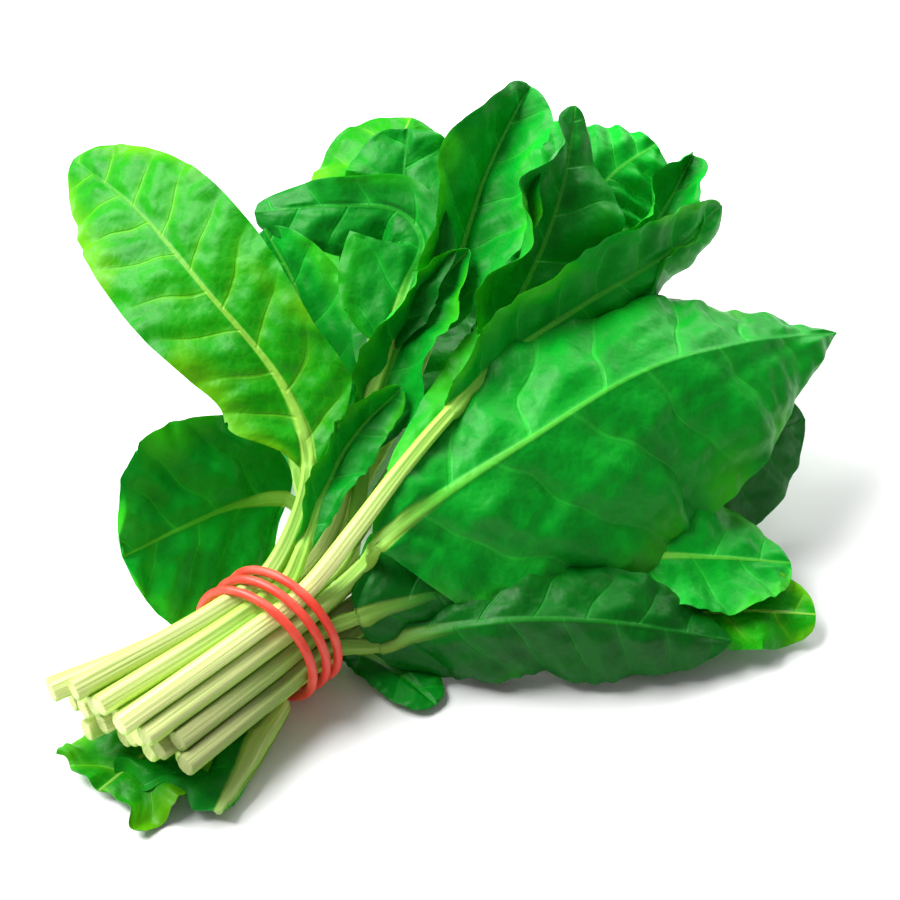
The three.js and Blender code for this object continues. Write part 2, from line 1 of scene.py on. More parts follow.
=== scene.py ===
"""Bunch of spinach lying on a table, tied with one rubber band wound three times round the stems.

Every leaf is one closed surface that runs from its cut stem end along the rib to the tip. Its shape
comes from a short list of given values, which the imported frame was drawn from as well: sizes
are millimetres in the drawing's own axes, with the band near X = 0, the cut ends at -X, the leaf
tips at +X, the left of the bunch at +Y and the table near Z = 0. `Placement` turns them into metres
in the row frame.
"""

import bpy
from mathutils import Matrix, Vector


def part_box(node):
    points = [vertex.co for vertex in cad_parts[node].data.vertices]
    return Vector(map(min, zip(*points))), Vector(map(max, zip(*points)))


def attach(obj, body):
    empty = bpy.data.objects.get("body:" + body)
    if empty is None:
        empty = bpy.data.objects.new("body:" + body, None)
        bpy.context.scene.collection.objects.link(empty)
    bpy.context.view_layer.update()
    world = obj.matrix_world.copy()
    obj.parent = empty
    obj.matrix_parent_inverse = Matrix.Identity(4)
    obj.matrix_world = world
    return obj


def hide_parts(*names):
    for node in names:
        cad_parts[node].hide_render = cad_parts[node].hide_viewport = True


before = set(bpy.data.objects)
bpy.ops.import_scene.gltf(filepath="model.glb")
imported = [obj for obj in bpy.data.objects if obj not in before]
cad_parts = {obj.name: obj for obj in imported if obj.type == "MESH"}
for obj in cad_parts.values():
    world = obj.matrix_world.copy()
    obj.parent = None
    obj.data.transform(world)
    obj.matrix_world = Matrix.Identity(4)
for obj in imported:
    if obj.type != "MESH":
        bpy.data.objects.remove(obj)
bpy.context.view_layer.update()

import logging
from dataclasses import dataclass
from enum import Enum

import bpy
import numpy as np
from mathutils import Vector

LOG = logging.getLogger("spinach")
MM = 0.001
Point = tuple[float, float, float]
Pair = tuple[float, float]
Sides = tuple[float | tuple[float, ...], float | tuple[float, ...]]
Array = np.ndarray


# ---- the bundle inside the band ----


@dataclass(frozen=True)
class Bundle:
    """How the stems lie side by side in the band, and how they spread on either side of it.

    rows and first give, for each layer from the lowest up, how many stems lie in it and the place
    of its leftmost stem. A fan is the spread of the stems' Y and Z away from the bundle's middle.
    """

    y: float = 0.0
    z: float = 20.0
    pitch: float = 6.5
    row_pitch: float = 5.2
    rows: tuple[int, ...] = (3, 4, 5, 5, 4, 3)
    first: tuple[float, ...] = (0.75, 1.25, 1.75, 2.25, 1.75, 1.25)
    grip: Pair = (-9, 12)
    leaf_fan: Point = (32, 1.2, 1.27)
    leaf_lift: float = 3.5
    cut_fan: Pair = (1.4, 0.84)
    cut_shift: Pair = (4, 1.5)

    def slot(self, layer: int, place: float) -> Array:
        """Y and Z of the middle of a stem's place in the bundle.

        Args:
            layer: 0 for the lowest layer.
            place: 0 for the leftmost stem of the layer.

        Returns:
            An array of Y and Z, mm.
        """
        middle = (len(self.rows) - 1) / 2
        return np.array([
            self.y + (self.first[layer] - place) * self.pitch,
            self.z + (layer - middle) * self.row_pitch,
        ])

    def spread(self, slot: Array, fan: Pair, shift: Pair) -> Array:
        """A place moved away from the bundle's middle.

        Args:
            slot: Y and Z of the place.
            fan: factors for the distance from the middle, along Y and Z.
            shift: what is added to Y and Z afterwards.

        Returns:
            Y and Z of the moved place.
        """
        middle = np.array([self.y, self.z])
        return middle + (slot - middle) * np.array(fan) + np.array(shift)


BUNDLE = Bundle()


# ---- shared formulas ----


def smooth_step(low: float, high: float, value: Array) -> Array:
    """0 below low, 1 above high, and the S-curve 3t^2 - 2t^3 between them."""
    share = np.clip((value - low) / (high - low), 0.0, 1.0)
    return share * share * (3.0 - 2.0 * share)


def through(values: tuple, share: Array) -> Array:
    """Value at a share of the way through a short list, on a Catmull-Rom curve.

    Args:
        values: one number or direction, or several, evenly spaced from share 0 to share 1.
        share: where to read the curve.

    Returns:
        One value, or one row for a direction, for each share.
    """
    knots = np.asarray(values, float)
    if len(knots) == 1:
        return np.repeat(knots, len(share), axis=0)
    padded = np.concatenate([[2 * knots[0] - knots[1]], knots, [2 * knots[-1] - knots[-2]]])
    place = np.clip(share, 0.0, 1.0) * (len(knots) - 1)
    first = np.minimum(place.astype(int), len(knots) - 2)
    t = place - first
    if knots.ndim > 1:
        t = t[..., None]
    before, start, end, after = (padded[first + step] for step in range(4))
    return 0.5 * (
        2 * start + (end - before) * t
        + (2 * before - 5 * start + 4 * end - after) * t**2
        + (3 * start - before - 3 * end + after) * t**3
    )


def unit(rows: Array) -> Array:
    """Rows of vectors made one long."""
    return rows / np.linalg.norm(rows, axis=-1, keepdims=True)


def line_of(phase: Array, width: float) -> Array:
    """1 where a phase is a whole number, falling to 0 as a bell curve of the given width."""
    return np.exp(-(((phase - np.round(phase)) / width) ** 2))


class Swell:
    """Smooth uneven field over a surface: the mean of a few plane waves in seeded directions."""

    WAVES = 7

    def __init__(self, seed: int, length: float) -> None:
        """Chooses the waves.

        Args:
            seed: the field's number, which makes it the same on every run.
            length: the middle wavelength, mm.
        """
        rng = np.random.default_rng(seed)
        turn = rng.uniform(0, 2 * np.pi, self.WAVES)
        pace = 2 * np.pi / (length * rng.uniform(0.7, 1.5, self.WAVES))
        self._x = pace * np.cos(turn)
        self._y = pace * np.sin(turn)
        self._start = rng.uniform(0, 2 * np.pi, self.WAVES)

    def at(self, x: Array, y: Array) -> Array:
        """Height of the field, from about -1 to 1, at places given in mm."""
        angle = x[..., None] * self._x + y[..., None] * self._y + self._start
        return np.sin(angle).sum(-1) / np.sqrt(self.WAVES)


class Spline:
    """Centripetal Catmull-Rom curve through a few points, measured by its arc length."""

    SAMPLES = 1601

    def __init__(self, points: list, closed: bool = False) -> None:
        """Fits the curve.

        Args:
            points: places in 3-D, mm.
            closed: joins the last point to the first.
        """
        knots = np.asarray(points, float)
        if closed:
            self._knots = np.concatenate([knots[-1:], knots, knots[:2]])
        else:
            self._knots = np.concatenate([
                [2 * knots[0] - knots[1]], knots, [2 * knots[-1] - knots[-2]],
            ])
        self._spans = len(self._knots) - 3
        self._closed = closed
        self._values = np.linspace(0, 1, self.SAMPLES)
        steps = np.linalg.norm(np.diff(self._place(self._values), axis=0), axis=1)
        self._lengths = np.concatenate([[0], np.cumsum(steps)])
        self.length = float(self._lengths[-1])

    def _place(self, value: Array) -> Array:
        """Points at the curve's own parameter: a Hermite cubic between two knots, whose slopes come
        from the neighbours' distances to the power one half.

        Args:
            value: 0 at the first knot, 1 at the last.

        Returns:
            One point for each value.
        """
        place = np.clip(value, 0, 1) * self._spans
        first = np.minimum(place.astype(int), self._spans - 1)
        t = (place - first)[:, None]
        p0, p1, p2, p3 = (self._knots[first + step] for step in range(4))
        d0, d1, d2 = (
            np.sqrt(np.linalg.norm(far - near, axis=1, keepdims=True)).clip(1e-4)
            for near, far in ((p0, p1), (p1, p2), (p2, p3))
        )
        leave = d1 * ((p1 - p0) / d0 - (p2 - p0) / (d0 + d1) + (p2 - p1) / d1)
        arrive = d1 * ((p2 - p1) / d1 - (p3 - p1) / (d1 + d2) + (p3 - p2) / d2)
        return (
            p1 + leave * t + (3 * (p2 - p1) - 2 * leave - arrive) * t**2
            + (2 * (p1 - p2) + leave + arrive) * t**3
        )

    def share_at(self, knot: float) -> float:
        """Share of the length at a knot, counted from 0; halves lie between knots."""
        return float(np.interp(knot / self._spans, self._values, self._lengths)) / self.length

    def point(self, share: Array) -> Array:
        """Points at shares of the length."""
        share = share % 1.0 if self._closed else np.clip(share, 0, 1)
        return self._place(np.interp(share * self.length, self._lengths, self._values))

    def tangent(self, share: Array) -> Array:
        """Directions of travel, from the points half a millimetre before and after.

        Args:
            share: shares of the length.

        Returns:
            One direction for each share, one long.
        """
        step = 0.5 / self.length
        ahead = share + step if self._closed else np.minimum(share + step, 1)
        behind = share - step if self._closed else np.maximum(share - step, 0)
        return unit(self.point(ahead) - self.point(behind))


@dataclass(frozen=True)
class Placement:
    """Where the drawing's zero point lies in the row frame, in metres."""

    origin: tuple[float, float, float]

    @classmethod
    def from_band(cls, drawn: Array) -> "Placement":
        """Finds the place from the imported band.

        Args:
            drawn: points of the band in the drawing's axes, mm.

        Returns:
            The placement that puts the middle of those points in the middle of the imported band.
        """
        low, high = (np.array(corner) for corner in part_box("rubber_band"))
        middle = (drawn.min(0) + drawn.max(0)) / 2
        return cls(tuple((low + high) / 2 - middle * MM))

    def metres(self, drawn: Array) -> Array:
        """Places in the row frame, in metres, of points in the drawing's axes."""
        return np.asarray(drawn, float) * MM + np.array(self.origin)


# ---- node graphs ----


class Graph:
    """Adds nodes to one material and links them, so that a finish reads as a short recipe."""

    def __init__(self, name: str) -> None:
        """Starts an empty material.

        Args:
            name: the material's name.
        """
        self.material = bpy.data.materials.new(name)
        self.material.use_nodes = True
        self.tree = self.material.node_tree
        self.tree.nodes.clear()

    def node(self, kind: str, inputs: dict | None = None, **settings) -> bpy.types.Node:
        """Adds one node.

        Args:
            kind: Blender's name for the node's type, without the leading ShaderNode.
            inputs: values, or sockets to link, for the inputs named by name or number.
            settings: the node's own properties.

        Returns:
            The node.
        """
        made = self.tree.nodes.new("ShaderNode" + kind)
        for name, value in settings.items():
            setattr(made, name, value)
        for name, value in (inputs or {}).items():
            if isinstance(value, bpy.types.NodeSocket):
                self.tree.links.new(value, made.inputs[name])
            else:
                made.inputs[name].default_value = value
        return made

    def attribute(self, name: str) -> bpy.types.NodeSocket:
        """The value of a mesh attribute."""
        return self.node("Attribute", attribute_name=name).outputs["Fac"]

    def math(self, operation: str, *values) -> bpy.types.NodeSocket:
        """The result of one arithmetic step on numbers or sockets."""
        return self.node("Math", dict(enumerate(values)), operation=operation).outputs[0]

    def product(self, first, second) -> bpy.types.NodeSocket:
        """Two numbers or sockets multiplied."""
        return self.math("MULTIPLY", first, second)

    def fade(self, value: bpy.types.NodeSocket, low: float, high: float) -> bpy.types.NodeSocket:
        """Smooth 0 to 1 as a value goes from low to high.

        Args:
            value: what is read.
            low: where the result is 0; it may be the larger of the two.
            high: where the result is 1.

        Returns:
            The socket of the result.
        """
        ends = (0.0, 1.0) if low < high else (1.0, 0.0)
        made = self.node(
            "MapRange",
            {0: value, 1: min(low, high), 2: max(low, high), 3: ends[0], 4: ends[1]},
            interpolation_type="SMOOTHSTEP",
        )
        return made.outputs[0]

    def mix(self, share, first, second) -> bpy.types.NodeSocket:
        """Two colours mixed by a share from 0 to 1."""
        return self.node("Mix", {0: share, 6: first, 7: second}, data_type="RGBA").outputs[2]

    def noise(self, vector, scale: float, detail: float = 3.0) -> bpy.types.NodeSocket:
        """Cloudy noise, 0 to 1, of about scale cells to the unit."""
        made = self.node("TexNoise", {"Vector": vector, "Scale": scale, "Detail": detail})
        return made.outputs["Fac"]

    def finish(self, shader: bpy.types.NodeSocket) -> bpy.types.Material:
        """Links the surface shader to the output and returns the material."""
        self.node("OutputMaterial", {"Surface": shader})
        return self.material


def paint(code: str) -> tuple[float, float, float, float]:
    """A colour in linear light with full opacity.

    Args:
        code: the colour as shown, six hexadecimal digits.

    Returns:
        Red, green, blue and opacity.
    """
    shown = np.array([int(code[at:at + 2], 16) / 255 for at in (0, 2, 4)])
    linear = np.where(shown > 0.04045, ((shown + 0.055) / 1.055) ** 2.4, shown / 12.92)
    return (*linear.tolist(), 1.0)


# ---- leaves ----


class Green(Enum):
    """Kind of leaf by its colour, with the record's material slot."""

    LIGHT = "leaf_light"
    MID = "leaf_mid"
    DEEP = "leaf_deep"


@dataclass(frozen=True)
class Leaf:
    """One leaf: a stem through the band, and a blade that bends away from its rib.

    slot is the stem's layer and place in the band, cut the X of its cut end, and cut_aside how far
    that end is moved to the left and up from the even fan. A short stem turns off right after the
    band, and the others run on together first. A leaf with a root lies the other way round: it starts
    there, and its blade is cut off at the share keep of its length. route holds the points after the
    band up to the tip, and the blade starts at the one numbered blade.

    half, fold and curl are given for the left and the right side, and face for both. Each is one value
    or a list read evenly along the blade: the half width, the degrees that a half rises at the rib,
    the further degrees it turns by on the way to its margin, and which way the upper side looks.
    widest is the share of the blade where it is widest, and full how fast it fills out towards that
    place from the base and from the tip: low is rounder. lobe is the height of the two basal lobes as
    shares of the half widths. wave is the ruffled margin's height, its waves along the blade and its
    starting angle. quilt is the height of the swellings between the veins, and vein_gap the distance
    between side veins. tone is how bright the leaf is beside others of its kind:
    partly its own tone, and partly painted shade on leaves that lie in shadow and painted light on
    leaves that face away from the key lamp. stout is how thick its rib.
    """

    name: str
    green: Green
    slot: tuple[int, float]
    route: tuple[Point, ...]
    half: Sides
    widest: float
    full: Pair
    wave: Point
    blade: int = 0
    face: Point | tuple[Point, ...] = (0, 0, 1)
    fold: Sides = (0, 0)
    curl: Sides = (0, 0)
    lobe: Pair = (0, 0)
    cut: float = 0.0
    cut_aside: Pair = (0, 0)
    short: bool = False
    root: Point | None = None
    keep: float = 1.0
    quilt: float = 1.3
    vein_gap: float = 15.0
    # brightness factor: the leaf's own tone, with painted shade on leaves in shadow and painted light
    # on leaves facing away from the key lamp
    tone: float = 1.0
    stout: float = 1.0


LEAVES = (
    Leaf(
        "large_front", Green.MID, slot=(4, 3), cut=-50,
        route=(
            (32, -14, 43), (52, -19, 50), (77, -28, 59), (116, -39, 67), (150, -49, 62), (191, -56, 45),
        ),
        half=((16, 38, 46, 42, 34), (48, 57, 55, 50, 38)), widest=0.42, full=(0.5, 1), lobe=(0, 0.25),
        face=((-0.3, -0.3, 0.9), (-0.1, -0.1, 1), (0, -0.1, 1)), fold=((0, 0, -10), (-25, -38, -35)),
        curl=((0, -10, -15), (-10, -25, -15)), wave=(2, 2.5, 40), quilt=2.2, vein_gap=26, tone=0.95,
    ),
    Leaf(
        "light_left", Green.LIGHT, slot=(5, 0), cut=-54, short=True,
        route=((35, 15, 51), (43, 31, 66), (44, 63, 85), (50, 98, 93), (55, 131, 92)),
        half=(23, 22), widest=0.55, full=(0.7, 0.57), lobe=(0.25, 0.25),
        face=((-0.55, -0.5, 0.65), (-0.55, -0.5, 0.65), (-0.55, -0.4, 0.7)),
        fold=((10, 5, 0), (10, 5, 0)), curl=((10, 0, -10), (10, 0, -20)), wave=(1.5, 3, 0), tone=0.9,
    ),
    Leaf(
        "centre_flopped", Green.DEEP, slot=(4, 1), cut=-52,
        route=(
            (54, 15, 50), (77, 24, 65), (91, 29, 77), (101, 32, 86), (102, 42, 91), (94, 57, 90),
            (79, 79, 85),
        ),
        blade=1, half=((26, 20, 11), (15, 10, 9)), widest=0.4, full=(0.5, 0.3),
        face=((-0.6, -0.6, 0.5), (-0.6, -0.6, 0.5), (-0.3, -0.3, 0.9)),
        fold=((0, -5, -10), (30, 10, 0)), curl=((-10, -20, -10), (40, 10, 0)), wave=(2, 2.5, 60),
    ),
    Leaf(
        "rolled_long", Green.MID, slot=(5, 2), cut=-54, short=True,
        route=(
            (27, -9, 47), (48, -8, 56), (70, -6.5, 62), (95, -6, 67), (124, -11, 72), (148, -15, 74),
            (167, -17, 76), (182, -16, 78),
        ),
        blade=2, half=(17, 18), widest=0.5, full=(0.55, 0.55),
        face=(-0.2, -0.6, 0.75), fold=((20, 10, 10), (-20, -30, -20)),
        # painted light: the brightness factor above 1 lightens this leaf, which faces away from the key
        # lamp
        curl=((30, 60, 60), (-30, -60, -60)), wave=(1, 3, 0), tone=1.2,
    ),
    Leaf(
        "ruffled_tall", Green.MID, slot=(3, 2), cut=-48,
        route=((72, 5, 49), (92, 2.5, 58), (115, 6, 72), (131, 10, 82), (146, 16, 93), (162, 26, 105)),
        blade=1, half=((15, 23, 12), (12, 23, 15)), widest=0.5, full=(0.5, 0.6),
        face=((-0.5, -0.7, 0.5), (-0.5, -0.7, 0.5), (-0.6, -0.7, 0.4)),
        fold=((30, 30, 25), (0, -5, -20)), curl=((10, 50, 30), (0, -10, -10)), wave=(5, 2.5, 90),
        # painted shade: the brightness factor below 1 darkens this leaf as if it stood in shadow
        tone=0.8,
    ),
    Leaf(
        "ruffled_inner", Green.MID, slot=(3, 1), cut=-52,
        route=(
            (66, 14, 44), (92, 20, 65), (111, 26, 79), (129, 33, 92), (146, 38, 101), (160, 42, 106),
        ),
        blade=1, half=((21, 22, 16), (18, 23, 18)), widest=0.5, full=(0.5, 0.55),
        face=((-0.6, -0.6, 0.5), (-0.6, -0.6, 0.5), (-0.5, -0.6, 0.5)),
        fold=((45, 50, 35), (30, 35, 30)), curl=((10, 0, 0), (10, 30, 20)), wave=(3, 2, 200), tone=1.1,
    ),
    Leaf(
        "round_left", Green.MID, slot=(3, 0), cut=-53, cut_aside=(3, 0),
        route=((41, 23, 21), (42, 32, 24), (29, 39, 27), (8, 41, 31), (-12, 43, 33)),
        blade=1, half=(34, 31), widest=0.55, full=(0.5, 0.41),
        face=((-0.4, -0.8, 0.5), (-0.35, -0.8, 0.5), (-0.35, -0.8, 0.5)),
        curl=((0, 10, 10), (0, 15, 10)), wave=(1.5, 2, 30), quilt=2, tone=1.15,
    ),
    Leaf(
        "savoy_right", Green.MID, slot=(3, 3), cut=-49,
        route=((76, -1.5, 42), (112, 6, 58), (143, 12, 72), (165, 14, 83), (185, 12, 86)),
        blade=1, half=(31, 28), widest=0.62, full=(0.6, 0.4),
        face=((-0.4, -0.4, 0.8), (-0.5, -0.5, 0.7), (-0.2, -0.4, 0.9)),
        fold=((10, 0, -10), (10, 0, -10)), curl=((0, -20, -40), (0, -20, -40)), wave=(2, 3, 0),
        quilt=2.2, vein_gap=9, tone=1.2,
    ),
    Leaf(
        "curled_tip", Green.MID, slot=(2, 2), cut=-48,
        route=((78, -10, 34), (112, -10, 55), (143, -8, 68), (167, -4.5, 77), (188, 0, 86)),
        blade=1, half=(12, 13), widest=0.65, full=(0.7, 0.38),
        face=((-0.4, -0.5, 0.7), (-0.4, -0.5, 0.7), (-0.5, -0.5, 0.6)),
        fold=((20, 30, 30), (10, 10, 20)), curl=((20, 50, 60), (20, 40, 50)), wave=(3, 3, 120),
        tone=1.1,
    ),
    Leaf(
        "back_cupped", Green.DEEP, slot=(2, 1), cut=-50,
        route=((64, 27, 37), (90, 41, 53), (110, 52, 67), (124, 61, 79), (135, 69, 91)),
        blade=1, half=(18, 18), widest=0.62, full=(0.5, 0.31),
        face=((-0.7, -0.5, 0.4), (-0.7, -0.5, 0.4), (-0.6, -0.5, 0.5)), fold=(10, 10),
        curl=((10, 0, -20), (20, 0, -20)), wave=(4, 3, 0), quilt=1.5,
    ),
    Leaf(
        "back_dome", Green.LIGHT, slot=(2, 0), cut=-50, cut_aside=(3, 0),
        route=((66, 42, 34), (98, 61, 48), (128, 77, 60), (148, 87, 67), (163, 94, 70)),
        blade=1, half=(26, 26), widest=0.6, full=(0.6, 0.4),
        face=((-0.5, -0.4, 0.75), (-0.5, -0.4, 0.75), (-0.1, -0.1, 0.9)),
        curl=((0, -30, -30), (0, -30, -30)), wave=(2, 2.5, 0),
    ),
    Leaf(
        "low_front", Green.DEEP, slot=(2, 4), cut=-45, short=True,
        route=((24, -21, 14), (35, -33, 20), (49, -51, 26), (69, -71, 23), (94, -92, 11)),
        half=(20, 22), widest=0.48, full=(0.45, 0.65), lobe=(0.15, 0.12),
        face=((-0.3, -0.3, 0.9), (-0.2, -0.2, 1), (-0.2, -0.2, 1)), fold=(0, (-50, -60, -40)),
        # painted shade: the low brightness factor darkens this leaf, which lies low at the front in
        # shadow
        curl=((0, -10, 0), (-10, -20, -20)), wave=(1.5, 3, 0), tone=0.58,
    ),
    Leaf(
        "kinked_front", Green.DEEP, slot=(3, 4), cut=-43, short=True,
        route=((21, -16, 24), (34, -25, 27), (48, -34, 28), (66, -45, 24), (80, -54, 14)),
        half=(22, 24), widest=0.5, full=(0.38, 0.6), lobe=(0.2, 0.3),
        face=((-0.4, -0.5, 0.8), (-0.3, -0.4, 0.9), (-0.2, -0.3, 0.9)), fold=(0, (-40, -50, -30)),
        # painted shade: the low brightness factor darkens this front leaf as if it lay in shadow
        curl=(0, (-10, -20, -20)), wave=(1, 2, 0), tone=0.62,
    ),
    Leaf(
        "grey_front", Green.MID, slot=(1, 2), cut=-46,
        route=((56, -28, 20), (86, -54, 25), (108, -74, 22), (128, -88, 14)),
        blade=1, half=(24, 18), widest=0.55, full=(0.7, 0.57),
        face=((-0.2, -0.3, 0.9), (-0.2, -0.3, 0.9), (-0.1, -0.2, 1)), fold=((0, 0, -10), -10),
        curl=((0, -10, -20), (0, 30, 40)), wave=(1.5, 2.5, 0), tone=1.25,
    ),
    Leaf(
        "under_large", Green.DEEP, slot=(2, 3), cut=-46,
        route=((74, -26, 27), (106, -41, 31), (141, -55, 30), (171, -61, 26)),
        half=(22, 31), widest=0.55, full=(0.7, 0.57),
        face=((-0.2, -0.5, 0.8), (-0.2, -0.7, 0.7), (-0.1, -0.8, 0.6)), fold=(0, -10),
        curl=(0, (0, -10, -10)), wave=(1.5, 2, 0), tone=0.7,
    ),
    Leaf(
        "narrow_middle", Green.MID, slot=(5, 1), cut=-53, short=True,
        route=((19, 3, 38), (33, 8.5, 46), (51, 13, 54), (70, 12, 61)),
        half=(10, 9), widest=0.6, full=(0.8, 0.53),
        face=(-0.5, -0.6, 0.6), fold=((40, 40, 30), (30, 20, 20)), curl=(20, 20), wave=(1, 2.5, 0),
    ),
    Leaf(
        "curled_middle", Green.MID, slot=(4, 2), cut=-50,
        route=((56, 13, 46), (76, 21, 62), (94, 23, 75), (108, 20, 85)),
        half=(14, 15), widest=0.45, full=(0.4, 0.6),
        face=(-0.6, -0.6, 0.5), fold=(20, 20), curl=((30, 60, 60), (30, 60, 60)), wave=(2, 2, 0),
    ),
    Leaf(
        "behind_light", Green.MID, slot=(4, 0), cut=-56, cut_aside=(3, 0),
        route=((48, 24, 42), (66, 44, 59), (75, 60, 72), (78, 74, 82)),
        half=(15, 15), widest=0.55, full=(0.65, 0.53),
        face=(-0.6, -0.5, 0.6), fold=(10, 10), curl=((0, 10, 0), (10, 20, 10)), wave=(1.5, 2, 0),
    ),
    Leaf(
        "crumpled_tip", Green.LIGHT, slot=(1, 3), cut=-42,
        route=((52, -36, 8), (84, -68, 11), (106, -88, 11), (122, -102, 7)),
        blade=1, half=(14, 12), widest=0.6, full=(0.7, 0.47),
        face=((0, 0, 1), (0, 0, 1), (-0.2, -0.2, 1)), fold=(0, (0, -10, -10)),
        curl=((0, 20, 40), (0, -20, -20)), wave=(2.5, 3, 0), tone=1.25,
    ),
    Leaf(
        "small_under", Green.DEEP, slot=(0, 1), cut=-24, cut_aside=(-6.5, -2.5), short=True,
        route=((22, -5, 5), (27, -22, 3.5), (26, -41, 2.5)),
        half=(9, 9), widest=0.6, full=(0.6, 0.4),
        wave=(0, 2, 0),
    ),
    Leaf(
        "back_low", Green.MID, slot=(1, 0), cut=-52,
        route=((54, 40, 22), (84, 72, 26), (112, 98, 10)),
        half=(24, 24), widest=0.5, full=(0.65, 0.65),
        face=((-0.2, 0.2, 1), (-0.2, 0.2, 1), (0, 0.2, 1)), fold=(-10, -10),
        curl=((-20, -30, -20), (-20, -30, -20)), wave=(1.5, 2.5, 0),
    ),
    Leaf(
        "back_long", Green.DEEP, slot=(1, 1), cut=-47,
        route=((74, 32, 24), (112, 56, 32), (146, 76, 28), (166, 86, 12)),
        half=(26, 26), widest=0.55, full=(0.65, 0.53),
        face=((-0.2, 0.1, 1), (-0.2, 0.1, 1), (0, 0.1, 1)), fold=(-10, -10),
        curl=((-20, -30, -20), (-20, -30, -20)), wave=(2, 2.5, 0),
    ),
    Leaf(
        "cut_left", Green.LIGHT, slot=(0, 0), root=(19, 5.5, 6.4), keep=0.72,
        route=((-12, 3.5, 7), (-36, 4.5, 5), (-58, 5, 3.5)),
        half=(20, 18), widest=0.55, full=(0.6, 0.49),
        fold=(0, (20, 10, 0)), curl=(0, (10, 10, 0)), wave=(3, 3, 0), tone=0.85,
    ),
    Leaf(
        "cut_right", Green.DEEP, slot=(0, 2), root=(15, -8.3, 6.6), keep=0.72,
        route=((-5.5, -12, 7), (-17, -16, 6.5), (-30, -21, 5.5), (-43, -25, 4.5)),
        half=(2, 34), widest=0.55, full=(0.4, 0.49),
        wave=(2, 3, 90), stout=3.4,
    ),
)


@dataclass(frozen=True)
class StemSize:
    """Radius of a stem at its cut end, in the band and at the neck of the blade, and of the rib at
    rib_share of the blade and at the tip."""

    cut: float = 3.1
    band: float = 2.95
    neck: float = 2.1
    rib: float = 1.0
    rib_share: float = 0.3
    rib_tip: float = 0.35


